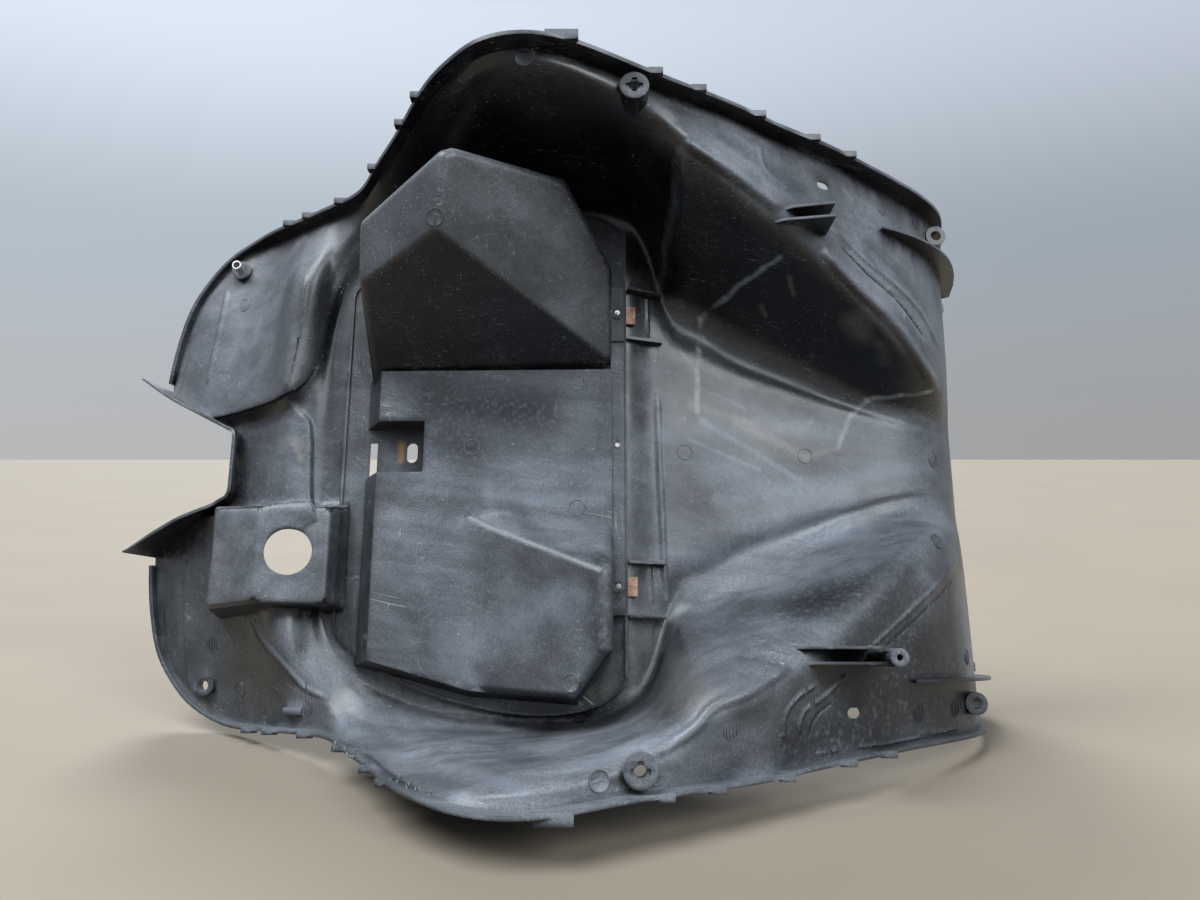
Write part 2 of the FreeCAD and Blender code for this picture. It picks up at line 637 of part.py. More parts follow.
    # Screw post on the right-hand bracket
    stand(rod(POST_X, POST_Z, POST_R, POST_FACE_Y, POST_FACE_Y + 80.0))
    cuts.append(rod(POST_X, POST_Z, POST_HOLE_R, POST_FACE_Y - 1.0, POST_FACE_Y + POST_HOLE_DEPTH))

    # Clip on the right-hand wing
    depth = depth_at(face, WING_CLIP_X, WING_CLIP_Z)
    stand(box((WING_CLIP_X - WING_CLIP_WIDTH / 2, depth - WING_CLIP_HEIGHT,
               WING_CLIP_Z - WING_CLIP_LENGTH / 2),
              (WING_CLIP_X + WING_CLIP_WIDTH / 2, depth + 8.0, WING_CLIP_Z + WING_CLIP_LENGTH / 2)))

    cuts.append(rod(0.0, PEG_Z, PEG_SHANK_R + SCREW_CLEARANCE, -16.0, 0.0))
    normal = Vector(0.0, 1.0, -LOCK_FACE_SLOPE)
    normal.normalize()
    cuts.append(Part.makeCylinder(LOCK_HOLE_R, 30.0, Vector(LOCK_X, LOCK_Y, LOCK_Z) - normal * 15.0,
                                  normal))
    cuts.append(tub_opening())
    shape = wall.cut(notch_cutter())
    shape = shape.fuse([collar(face), lock_housing(0.0, 90.0).cut(behind)])
    shape = shape.cut(lock_housing(SHIELD_WALL, 110.0))
    shape = shape.fuse(adds)
    shape = shape.cut(cuts)
    return shape


def with_midpoints(corners):
    """The same corners with a point between each two, on a smooth curve through them."""
    ends = [corners[0]] + corners + [corners[-1]]
    points = []
    for i in range(1, len(ends) - 2):
        a, b, c, d = ends[i - 1:i + 3]
        middle = tuple((9.0 * (b[k] + c[k]) - a[k] - d[k]) / 16.0 for k in (0, 1))
        points += [b, middle]
    return points + [corners[-1]]


def tub_outline(inset):
    """Outline of the tub's flange, as x and z."""
    corners = [(126.0, TUB_TOP_Z), (141.0, 186.0), (161.0, 156.0), (178.0, 112.0), (187.0, 68.0),
               (188.5, 30.0), (181.0, -2.0), (166.0, TUB_LOW_Z)]
    points = []
    for x, z in with_midpoints(corners):
        z_in = min(max(z, TUB_LOW_Z + inset), TUB_TOP_Z - inset)
        points.append((x - inset, z_in))
    return points + [(-x, z) for x, z in reversed(points)]


def tub_opening():
    return prism_xz(tub_outline(OPENING_INSET), -60.0, 60.0)


def tub_plane(y_shift):
    """Half space in front of the tub's seat plane, moved by y_shift."""
    return ((0.0, TUB_PLANE_Y + y_shift, 0.0), (0.0, 1.0, -TUB_PLANE_SLOPE))


def upper_pocket(inset):
    floor = 60.0 if inset else 0.0
    planes = [
        tub_plane(floor),
        ((0.0, -0.6, 0.0), (-0.35, -1.0, -0.62)),
        ((123.0, -110.0, 107.0), (-0.2, -1.0, 0.55)),
        ((0.0, 0.0, 172.0), (0.0, -POCKET_DRAFT, 1.0)),
        ((UPPER_POCKET_OUTER_X, 0.0, 60.0), (1.0, -UPPER_POCKET_DRAFT, 0.0)),
        ((UPPER_POCKET_OUTER_X, 0.0, 100.0), (0.878, -UPPER_POCKET_DRAFT, 0.479)),
        ((UPPER_POCKET_OUTER_X, 0.0, 24.0), (0.527, -UPPER_POCKET_DRAFT, -0.85)),
        ((0.0, 0.0, POCKET_LOW_Z), (0.0, 0.0, -1.0)),
        ((57.0, -8.0, 0.0), (-1.0, -0.647, 0.0)),
    ]
    return planes


def lower_pocket(inset):
    floor = 60.0 if inset else 0.0
    planes = [
        tub_plane(floor),
        ((0.0, -73.4, 0.0), (-0.06, -1.0, 0.584)),
        ((-54.0, -17.0, 0.0), (1.0, -0.78, 0.0)),
        ((-LOWER_POCKET_OUTER_X, 0.0, 53.0), (-1.0, -POCKET_DRAFT, TUB_SIDE_TAPER)),
        ((-LOWER_POCKET_OUTER_X, 0.0, 12.0), (-0.6, -0.05, -0.8)),
        ((0.0, 0.0, POCKET_LOW_Z), (0.0, 0.0, -1.0)),
    ]
    return planes


def middle_tray(inset):
    floor = 60.0 if inset else 0.0
    planes = [
        tub_plane(floor),
        ((0.0, MIDDLE_Y, 0.0), (0.0, -1.0, 0.03)),
        ((0.0, 0.0, MIDDLE_TOP_Z), (0.0, -0.55, 1.0)),
        ((MIDDLE_LEFT_X, 0.0, 0.0), (1.0, 0.0, 0.0)),
        ((-LOWER_POCKET_OUTER_X, 0.0, 79.0), (-1.0, -0.3, TUB_SIDE_TAPER)),
        ((-LOWER_POCKET_OUTER_X, 0.0, 86.5), (-1.0, -0.3, TUB_END_TAPER)),
        ((-LOWER_POCKET_OUTER_X, 0.0, 12.0), (-0.6, -0.05, -0.8)),
        ((0.0, 0.0, POCKET_LOW_Z), (0.0, 0.0, -1.0)),
    ]
    return planes


def rounded_pocket(planes, inset, radius):
    """A pocket with rounded edges, apart from the edges of its open side."""
    shape = convex(planes, inset)
    open_side = min(shape.Faces, key=lambda f: -f.Area if f.normalAt(0, 0).y > 0.9 else 0.0)
    kept = [e for e in shape.Edges if not any(e.isSame(o) for o in open_side.Edges)]
    return shape.makeFillet(radius, kept)


def ring_xz(inner_inset):
    """The band along the tub's outline that its lip stands on."""
    return prism_xz(tub_outline(0.0), -60.0, 60.0).cut(prism_xz(tub_outline(inner_inset), -80.0, 80.0))


def seat_band(near, far):
    """The space between two planes parallel to the seat plane, given by their shifts."""
    return half_space(*tub_plane(far)).cut(half_space(*tub_plane(near)))


def clip_plate(side, grow):
    """The steel clip under one hinge screw, or with grow the room that is left for it."""
    half = CLIP_WIDTH / 2 + grow
    x = side * HINGE_SCREW_X
    room = CLIP_LIP if grow else 0.0
    plate = box((x - half, CLIP_BACK_Y - CLIP_WALL - grow, CLIP_LOW_Z - grow),
                (x + half, CLIP_BACK_Y + room, CLIP_TOP_Z + grow))
    lip = box((x - half, CLIP_BACK_Y - CLIP_WALL - grow, CLIP_LOW_Z - grow),
              (x + half, CLIP_BACK_Y + CLIP_LIP, CLIP_LOW_Z + CLIP_WALL + grow))
    return plate.fuse(lip).removeSplitter()


def build_clip(side):
    hole = rod(side * HINGE_SCREW_X, HINGE_SCREW_Z, SCREW_SHANK_R + SCREW_CLEARANCE, -16.0, 0.0)
    return clip_plate(side, 0.0).cut(hole)


def build_screw(side):
    """A hinge screw. Its head is on the rider's side and its tip shows on the hidden side."""
    x = side * HINGE_SCREW_X
    shank = rod(x, HINGE_SCREW_Z, SCREW_SHANK_R, SCREW_TIP_Y + SCREW_TIP_LENGTH, SCREW_SEAT_Y + 0.5)
    tip = Part.makeCone(SCREW_SHANK_R * 0.55, SCREW_SHANK_R, SCREW_TIP_LENGTH,
                        Vector(x, SCREW_TIP_Y, HINGE_SCREW_Z), Vector(0, 1, 0))
    head = Part.makeCone(SCREW_HEAD_R, SCREW_HEAD_R * 0.8, SCREW_HEAD_HEIGHT,
                         Vector(x, SCREW_SEAT_Y, HINGE_SCREW_Z), Vector(0, 1, 0))
    return shank.fuse([tip, head])


def build_sleeve():
    """The hollow metal sleeve in the top left boss."""
    outer = rod(TOP_BOSS_X, TOP_BOSS_Z, TOP_BOSS_HOLE_R - SLEEVE_FIT, SLEEVE_FRONT_Y, SLEEVE_BACK_Y)
    return outer.cut(rod(TOP_BOSS_X, TOP_BOSS_Z, SLEEVE_BORE_R, SLEEVE_FRONT_Y - 5, SLEEVE_BACK_Y + 5))


def strip_front(thickness):
    """Depth of the front of the hinge strip."""
    return TUB_PLANE_Y + TUB_PLANE_SLOPE * STRIP_LOW_Z - TUB_WALL - thickness


def build_peg():
    """The small peg in the middle of the hinge strip."""
    face = strip_front(STRIP_THICKNESS)
    shank = rod(0.0, PEG_Z, PEG_SHANK_R, face - 0.5, PEG_BACK_Y)
    head = Part.makeCone(PEG_R * 0.7, PEG_R, PEG_HEIGHT, Vector(0.0, face - PEG_HEIGHT, PEG_Z),
                         Vector(0, 1, 0))
    return shank.fuse(head)


def build_tub():
    """The moulded tub: a flange with one deep, one wedge-shaped pocket and a shallow middle."""
    flange = prism_xz(tub_outline(0.0), -60.0, 60.0).common(seat_band(-TUB_WALL, 0.0))
    lip = ring_xz(TUB_LIP_WIDTH).common(seat_band(-TUB_WALL - TUB_LIP_HEIGHT, -TUB_WALL / 2))
    back = TUB_PLANE_Y + TUB_PLANE_SLOPE * STRIP_LOW_Z - 0.4
    strip = box((-STRIP_HALF_LENGTH, strip_front(STRIP_THICKNESS), STRIP_LOW_Z),
                (STRIP_HALF_LENGTH, back, STRIP_TOP_Z))
    parts = [lip, strip]
    for side in (1, -1):
        low, high = sorted((side * STRIP_END_INNER_X, side * STRIP_HALF_LENGTH))
        end_y = strip_front(STRIP_THICKNESS + STRIP_END_THICKNESS)
        parts.append(box((low, end_y, STRIP_LOW_Z), (high, back, STRIP_TOP_Z)))
        parts.append(rod(side * HINGE_SCREW_X, HINGE_SCREW_Z, HINGE_BOSS_R, end_y - HINGE_BOSS_HEIGHT,
                         back))
    recess = box((-RECESS_HALF, -60.0, RECESS_LOW_Z), (RECESS_HALF, 60.0, RECESS_TOP_Z + 30.0))
    recess_keep = box((-RECESS_HALF - TUB_WALL, -60.0, RECESS_LOW_Z - TUB_WALL),
                      (RECESS_HALF + TUB_WALL, 60.0, RECESS_TOP_Z + 30.0))
    outer = flange.fuse(parts + [
        rounded_pocket(upper_pocket(0), 0.0, POCKET_ROUND),
        rounded_pocket(lower_pocket(0), 0.0, POCKET_ROUND),
        convex(middle_tray(0), 0.0).cut(recess)])
    hollow = rounded_pocket(upper_pocket(1), TUB_WALL, POCKET_ROUND - TUB_WALL).fuse([
        rounded_pocket(lower_pocket(1), TUB_WALL, POCKET_ROUND - TUB_WALL),
        convex(middle_tray(1), TUB_WALL).cut(recess_keep)])
    tub = outer.cut(hollow)
    cuts = [slot_along_x(0.0, FRAME_SLOT_Z, FRAME_SLOT_LENGTH, FRAME_SLOT_WIDTH),
            box((LATCH_SLOT_X - LATCH_SLOT_LENGTH / 2, -60.0, LATCH_SLOT_Z - LATCH_SLOT_HEIGHT / 2),
                (LATCH_SLOT_X + LATCH_SLOT_LENGTH / 2, 60.0, LATCH_SLOT_Z + LATCH_SLOT_HEIGHT / 2)),
            rod(0.0, PEG_Z, PEG_SHANK_R + SCREW_CLEARANCE, -40.0, 10.0)]
    for side in (1, -1):
        cuts.append(clip_plate(side, CLIP_CLEARANCE))
        cuts.append(rod(side * HINGE_SCREW_X, HINGE_SCREW_Z, SCREW_SHANK_R + SCREW_CLEARANCE,
                        -40.0, 10.0))
    return tub.cut(cuts)


def slot_along_x(x, z, length, width):
    half = (length - width) / 2
    body = box((x - half, -60.0, z - width / 2), (x + half, 60.0, z + width / 2))
    return body.fuse([rod(x + half, z, width / 2, -60.0, 60.0),
                      rod(x - half, z, width / 2, -60.0, 60.0)]).removeSplitter()


HALF = half_grid()
GRID = full_grid(HALF)


def main():
    face, wall = sheet_solid(GRID, offset_grid(GRID, SHIELD_WALL))
    behind = face.extrude(Vector(0, 300, 0))
    behind.translate(Vector(0, SHIELD_WALL * 0.5, 0))
    export(build_shield(face, wall, behind), "leg_shield")
    export(build_tub(), "glovebox_tub")
    export(build_screw(1), "hinge_screw_left")
    export(build_screw(-1), "hinge_screw_right")
    export(build_clip(1), "hinge_clip_left")
    export(build_clip(-1), "hinge_clip_right")
    export(build_peg(), "hinge_peg")
    export(build_sleeve(), "fixing_sleeve")


main()
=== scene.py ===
"""Looks of a used inner leg shield: black plastic with dust, painted light, sheen and shade,
scratches and a rusty hinge.
"""
import math
import random

import bpy
import numpy as np
from bpy.props import FloatProperty, FloatVectorProperty, IntProperty, PointerProperty
from mathutils import Matrix, Vector
from mathutils.bvhtree import BVHTree


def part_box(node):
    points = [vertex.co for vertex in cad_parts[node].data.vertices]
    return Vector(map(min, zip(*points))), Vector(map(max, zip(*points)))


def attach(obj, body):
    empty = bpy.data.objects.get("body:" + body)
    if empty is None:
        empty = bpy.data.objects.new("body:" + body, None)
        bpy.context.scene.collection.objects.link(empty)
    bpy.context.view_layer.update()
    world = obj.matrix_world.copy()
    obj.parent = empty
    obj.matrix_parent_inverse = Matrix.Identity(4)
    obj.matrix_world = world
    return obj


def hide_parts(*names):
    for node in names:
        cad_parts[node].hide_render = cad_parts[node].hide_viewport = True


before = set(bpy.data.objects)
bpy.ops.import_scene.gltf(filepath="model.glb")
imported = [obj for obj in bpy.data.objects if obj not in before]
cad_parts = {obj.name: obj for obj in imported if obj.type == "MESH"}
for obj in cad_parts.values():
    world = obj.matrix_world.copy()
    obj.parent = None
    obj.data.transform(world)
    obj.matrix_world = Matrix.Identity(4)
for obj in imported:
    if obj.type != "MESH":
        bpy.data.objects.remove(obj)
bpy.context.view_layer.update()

bl_info = {
    "name": "Leg Shield Panel",
    "version": (1, 0, 0),
    "blender": (4, 5, 0),
    "location": "View3D > Sidebar > Leg Shield",
    "description": "Dresses the leg shield with worn plastic, rusty steel and a plain stage",
    "category": "Object",
}

MM = 0.001

# The photograph's viewpoint, in the frame of the part
CAMERA_PLACE = Vector((-0.145, -0.516, 0.022))
CAMERA_TURN = math.radians(12.58)
CAMERA_LENS_MM = 27.0
CAMERA_SENSOR_MM = 36.0
PICTURE_WIDTH = 1200
PICTURE_HEIGHT = 900
FOCAL_PIXELS = PICTURE_WIDTH * CAMERA_LENS_MM / CAMERA_SENSOR_MM
VIEW_FORWARD = Vector((math.sin(CAMERA_TURN), math.cos(CAMERA_TURN), 0.0))
VIEW_UP = Vector((math.cos(CAMERA_TURN), -math.sin(CAMERA_TURN), 0.0))
VIEW_RIGHT = Vector((0.0, 0.0, -1.0))
TABLE_DROP = 0.216
LIGHT_FROM = (VIEW_UP * 0.57 + VIEW_RIGHT * 0.48 - VIEW_FORWARD * 0.66).normalized()
TOP_LIGHT_FROM = (VIEW_UP * 0.866 - VIEW_RIGHT * 0.433 - VIEW_FORWARD * 0.25).normalized()
BACK_LIGHT_FROM = (VIEW_UP * 0.80 + VIEW_FORWARD * 0.62 - VIEW_RIGHT * 0.15).normalized()
# Where the dust falls from, which is also where the light painted on the plastic comes from
DUST_AND_LIGHT_FROM = (VIEW_UP * 0.80 + VIEW_RIGHT * 0.20 - VIEW_FORWARD * 0.55).normalized()
# How much dust lies on the rider's side, and the most that a film hides of each plastic
HANDLED_DUST = 0.45
SHIELD_FILM = 0.78
TUB_FILM = 0.72
# Angles between faces beyond which an edge stays sharp
SHIELD_SHARP = math.radians(32.0)
TUB_SHARP = math.radians(28.0)

# The corners of the space round the lock housing, without what it grows from
HOUSING_LOW = Vector((-0.121, 0.100, 0.206))
HOUSING_HIGH = Vector((-0.036, 0.172, 0.322))
LOCK_HOLE_PLACE = (-0.076, 0.1252, 0.24425)
LOCK_HOLE_AXIS = (0.0, -0.97866, -0.20552)
LOCK_HOLE_KEPT = 18.0 * MM
# The space round the line where the wedge of the tub starts
WEDGE_LOW = Vector((-0.158, 0.088, 0.084))
WEDGE_HIGH = Vector((-0.052, 0.128, 0.132))

# Places of small marks, as pixels of the 1200 x 900 picture
EJECTOR_MARKS = (
    (240, 690), (577, 383), (472, 447), (577, 508), (571, 683), (599, 781), (435, 217), (524, 57),
    (685, 452), (805, 456),
)
BARRED_MARKS = (
    (245, 305), (213, 644), (306, 708), (364, 641), (732, 730), (882, 209), (916, 224), (933, 460),
    (919, 713), (955, 709), (937, 541), (967, 657),
)
# Raised lines and folds in the moulding: route, half width in pixels, height in millimetres
RAISED_LINES = (
    (((228, 290), (217, 340), (207, 385)), 3.5, 0.9),
    (((187, 560), (186, 625), (190, 690)), 3.5, 0.9),
    (((307, 275), (297, 335), (284, 392)), 4.5, 1.0),
    (((250, 612), (264, 642), (283, 664), (305, 688), (331, 699)), 4.5, 1.0),
    (((797, 738), (804, 712), (824, 697), (847, 674)), 3.2, 1.1),
    (((868, 650), (900, 620), (931, 590), (952, 565), (960, 545)), 3.2, 1.3),
    (((783, 740), (785, 715), (800, 695), (818, 684)), 3.4, 1.3),
    (((760, 144), (763, 165), (778, 182), (792, 193)), 3.0, 1.0),
    (((828, 224), (863, 259), (895, 285), (922, 315), (941, 353)), 3.0, 1.2),
    (((813, 755), (845, 749), (891, 743), (937, 733), (962, 727)), 2.6, 0.8),
    (((789, 141), (825, 159), (869, 174), (907, 194), (930, 215), (941, 235)), 2.6, 0.8),
    (((647, 757), (693, 730), (714, 707), (751, 691), (790, 665)), 9.0, 1.9),
    (((683, 141), (725, 168), (781, 210)), 9.0, 2.2),
    (((822, 250), (854, 285), (898, 329), (937, 389)), 8.0, 2.0),
    (((674, 590), (723, 574), (800, 547), (861, 516), (902, 497)), 12.0, 0.5),
    (((686, 147), (678, 206), (663, 265), (655, 290)), 14.0, 1.4),
    (((657, 390), (659, 455), (662, 516), (665, 577), (669, 602)), 5.0, 1.2),
    (((647, 292), (648, 338)), 2.0, 0.7),
    (((650, 563), (652, 604)), 2.0, 0.7),
)
# Grooves beside them
SUNK_LINES = (
    (((836, 241), (868, 274), (898, 301), (928, 342)), 2.6, 0.7),
    (((879, 652), (910, 625), (938, 597), (957, 572)), 2.6, 0.7),
    (((809, 739), (815, 718), (833, 702)), 2.4, 0.7),
)
# Steps: route, how far the raised side runs in pixels, height in millimetres. The raised side
# is on the left of the route as it is walked in the picture.
STEPS_IN_FACE = (
    (((319, 521), (312, 500), (312, 432), (306, 416), (286, 396)), 62.0, 3.2),
)
# The dried edges of the water that stood in the part
WATER_LINES = (
    ((700, 320), (748, 279)), ((748, 279), (780, 257)), ((700, 320), (696, 412)),
    ((838, 446), (850, 415)), ((850, 415), (868, 400)), ((868, 400), (931, 391)),
)
# The longest straight piece of a water line, in pixels. The shield's material renders well with
# the 50 strokes of all kinds that it has, and rendered black with 67.
WATER_STEP = 34.0
# Soiled places, pale smears with painted sheen, and clean places with painted shade: start, end,
# half width in millimetres, strength
MUD_SMEARS = (
    ((690, 405), (757, 424), 5.0, 0.45), ((735, 420), (805, 458), 7.0, 0.5),
    ((805, 458), (838, 448), 4.0, 0.45), ((855, 322), (862, 336), 16.0, 0.45),
    ((880, 345), (884, 362), 8.0, 0.35), ((790, 276), (794, 294), 3.0, 0.4),
    ((762, 305), (766, 316), 3.0, 0.35), ((645, 640), (690, 700), 20.0, 0.30),
    ((668, 338), (700, 372), 1.6, 0.55), ((712, 392), (745, 408), 1.8, 0.55),
    ((845, 190), (852, 200), 5.0, 0.5), ((296, 438), (303, 460), 6.0, 0.9),
)
# Pale blue-grey strokes: some wiped smears, most of them painted sheen and painted highlights on
# the channel floor, along the folds and on the tub
PALE_SMEARS_AND_PAINTED_SHEEN = (
    ((720, 500), (905, 470), 11.0, 0.30), ((740, 520), (860, 530), 20.0, 0.32),
    ((690, 560), (840, 530), 16.0, 0.30), ((700, 430), (900, 425), 13.0, 0.22),
    ((760, 480), (845, 572), 5.0, 0.28), ((720, 400), (840, 440), 12.0, 0.18),
    ((455, 650), (560, 600), 24.0, 0.20), ((490, 480), (600, 470), 16.0, 0.22),
    ((340, 725), (520, 790), 12.0, 0.20), ((657, 398), (666, 598), 3.6, 0.42),
    ((720, 470), (840, 500), 26.0, 0.35), ((590, 760), (720, 730), 14.0, 0.25),
    ((490, 495), (600, 500), 10.0, 0.35), ((720, 160), (880, 300), 9.0, 0.25),
    ((700, 420), (800, 480), 4.0, 0.40), ((690, 440), (760, 470), 2.2, 0.40),
    ((681, 150), (675, 200), 7.0, 0.20), ((675, 200), (666, 250), 7.0, 0.22),
    ((666, 250), (657, 288), 6.0, 0.22),
)
# The black plastic laid over the dust: partly cleaner plastic, partly painted shade, as under the
# upper pocket of the tub
CLEAN_PLACES_AND_PAINTED_SHADE = (
    ((430, 400), (540, 410), 36.0, 0.90), ((410, 440), (470, 450), 26.0, 0.8),
    ((820, 600), (930, 650), 52.0, 0.85), ((700, 630), (800, 600), 34.0, 0.45),
    ((860, 690), (940, 700), 56.0, 0.92), ((790, 740), (880, 730), 34.0, 0.85),
    ((800, 610), (900, 570), 30.0, 0.50), ((950, 590), (955, 700), 40.0, 0.88),
    ((330, 610), (350, 715), 26.0, 0.8), ((165, 610), (185, 660), 26.0, 0.6),
    ((325, 300), (335, 480), 20.0, 0.7), ((600, 560), (600, 650), 16.0, 0.8),
    ((820, 350), (900, 360), 30.0, 0.6), ((870, 245), (925, 310), 12.0, 0.5),
    ((620, 60), (800, 190), 12.0, 0.4), ((620, 300), (640, 420), 14.0, 0.6),
)
RUST_RUN = ((401, 445), (401, 459))
TORN_PLACES = ((336, 742), (344, 748), (352, 754), (398, 780), (408, 786), (419, 790), (430, 795))


def colour(name, description, default):
    return FloatVectorProperty(name=name, description=description, subtype="COLOR", size=3,
                               min=0.0, max=1.0, default=default)


def lamp_level(name, description, default):
    return FloatProperty(name=name, description=description, min=0.0, max=20.0, default=default)


def spread(name, description, degrees):
    return FloatProperty(name=name, description=description, subtype="ANGLE", unit="ROTATION",
                         min=0.0, max=3.1, default=math.radians(degrees))


def shield_settings():
    return bpy.context.scene.leg_shield_settings


class ShieldSettings(bpy.types.PropertyGroup):
    """Sizes and colours of the leg shield's finish."""
    plastic_color: colour("Plastic", "Colour of the clean black plastic", (0.0045, 0.005, 0.0075))
    dust_color: colour("Dust", "Colour of the dry dust on the plastic", (0.245, 0.272, 0.315))
    mud_color: colour("Mud", "Colour of the dried water lines", (0.26, 0.245, 0.21))
    # The pale strokes' colour, used for wiped smears and for painted sheen
    smear_and_sheen_color: colour("Smears", "Colour of the pale wiped smears", (0.30, 0.35, 0.42))
    rust_color: colour("Rust", "Colour of the rusty clips", (0.33, 0.155, 0.085))
    steel_color: colour("Steel", "Colour of the plated screws", (0.62, 0.62, 0.60))
    mark_radius: FloatProperty(
        name="Ejector mark", description="Radius of a round ejector mark", subtype="DISTANCE",
        unit="LENGTH", min=0.001, max=0.02, default=6.0 * MM)
    mark_height: FloatProperty(
        name="Mark height", description="How far an ejector mark stands out", subtype="DISTANCE",
        unit="LENGTH", min=0.0001, max=0.002, default=0.35 * MM)
    thread_turns: IntProperty(
        name="Thread turns", description="Turns of thread that show on a hinge screw",
        min=2, max=20, default=8)


class StageSettings(bpy.types.PropertyGroup):
    """Colours and levels of the stage."""
    table_color: colour("Table", "Colour of the table", (0.27, 0.232, 0.186))
    # The wall's three colours are painted light: the wall is lighter and bluer high up
    wall_low_color: colour("Wall, low", "Colour of the wall near the table", (0.415, 0.42, 0.43))
    wall_middle_color: colour("Wall, middle", "Colour of the wall half way up", (0.40, 0.455, 0.51))
    wall_high_color: colour("Wall, high", "Colour of the wall high up", (0.67, 0.74, 0.85))
    key_strength: lamp_level("Key light", "Strength of the soft light from the front", 2.2)
    key_softness: spread("Key softness", "Angle that the front light fills", 34.0)
    top_strength: lamp_level("Top light", "Strength of the soft light from the upper left", 3.9)
    top_softness: spread("Top softness", "Angle that the top light fills", 42.0)
    back_strength: lamp_level("Back light", "Strength of the light from behind the panel", 2.4)
    back_softness: spread("Back softness", "Angle that the light from behind fills", 24.0)
    fill_level: FloatProperty(
        name="Fill", description="Strength of the light from all round", min=0.0, max=2.0,
        default=0.05)


# Small helpers

def activate(obj):
    bpy.ops.object.select_all(action="DESELECT")
    obj.select_set(True)
    bpy.context.view_layer.objects.active = obj
    return obj


def settle(obj):
    """Puts the object's place into its mesh."""
    activate(obj)
    bpy.ops.object.transform_apply(location=True, rotation=True, scale=True)
    return obj


def copy_of_node(node, name, sharp=SHIELD_SHARP):
    """A merged copy of a frame node, at the same place."""
    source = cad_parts[node]
    mesh = source.data.copy()
    mesh.name = name
    mesh.materials.clear()
    obj = bpy.data.objects.new(name, mesh)
    bpy.context.scene.collection.objects.link(obj)
    activate(obj)
    bpy.ops.object.mode_set(mode="EDIT")
    bpy.ops.mesh.select_all(action="SELECT")
    bpy.ops.mesh.remove_doubles(threshold=0.00001)
    bpy.ops.object.mode_set(mode="OBJECT")
    if mesh.has_custom_normals:
        bpy.ops.mesh.customdata_custom_splitnormals_clear()
    bpy.ops.object.shade_smooth_by_angle(angle=sharp)
    return obj


def finish_piece(obj, material, node=None):
    obj.data.materials.clear()
    obj.data.materials.append(material)
    if node:
        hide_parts(node)
    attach(obj, "root")
    return obj


def join_all(objects, name):
    bpy.ops.object.select_all(action="DESELECT")
    for obj in objects:
        obj.select_set(True)
    bpy.context.view_layer.objects.active = objects[0]
    bpy.ops.object.join()
    joined = bpy.context.view_layer.objects.active
    joined.name = name
    joined.data.name = name
    return joined


def bevel_edges(obj, width, angle=35.0, segments=2):
    activate(obj)
    modifier = obj.modifiers.new("edge", "BEVEL")
    modifier.width = width
    modifier.segments = segments
    modifier.limit_method = "ANGLE"
    modifier.angle_limit = math.radians(angle)
    bpy.ops.object.modifier_apply(modifier=modifier.name)
    bpy.ops.object.shade_smooth_by_angle(angle=math.radians(angle))
    return obj


class Surface:
    """The plastic's surface, for placing marks on it."""

    def __init__(self, nodes):
        points = []
        triangles = []
        for node in nodes:
            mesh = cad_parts[node].data
            start = len(points)
            points.extend(vertex.co.copy() for vertex in mesh.vertices)
            for face in mesh.polygons:
                triangles.append([start + k for k in face.vertices])
        self.tree = BVHTree.FromPolygons(points, triangles)

    def at_pixel(self, u, v):
        """The point and normal that a pixel of the picture shows."""
        right = (u - PICTURE_WIDTH / 2) / FOCAL_PIXELS
        up = (PICTURE_HEIGHT / 2 - v) / FOCAL_PIXELS
        ray = (VIEW_FORWARD + VIEW_RIGHT * right + VIEW_UP * up).normalized()
        point, normal, _, _ = self.tree.ray_cast(CAMERA_PLACE, ray)
        if point is None:
            raise RuntimeError("No surface at pixel %s, %s" % (u, v))
        if normal.dot(ray) > 0.0:
            normal = -normal
        return point, normal


SURFACE = Surface(("leg_shield", "glovebox_tub"))


def smooth_route(points, step):
    """Points at even steps on a smooth curve through the given pixels."""
    ends = [points[0]] + list(points) + [points[-1]]
    route = []
    for i in range(1, len(ends) - 2):
        a, b, c, d = (Vector(p) for p in ends[i - 1:i + 3])
        count = max(2, int((c - b).length / step))
        for k in range(count):
            t = k / count
            route.append(0.5 * (2 * b + (c - a) * t + (2 * a - 5 * b + 4 * c - d) * t * t
                                + (3 * b - a - 3 * c + d) * t ** 3))
    route.append(Vector(points[-1]))
    return route


# Node helpers

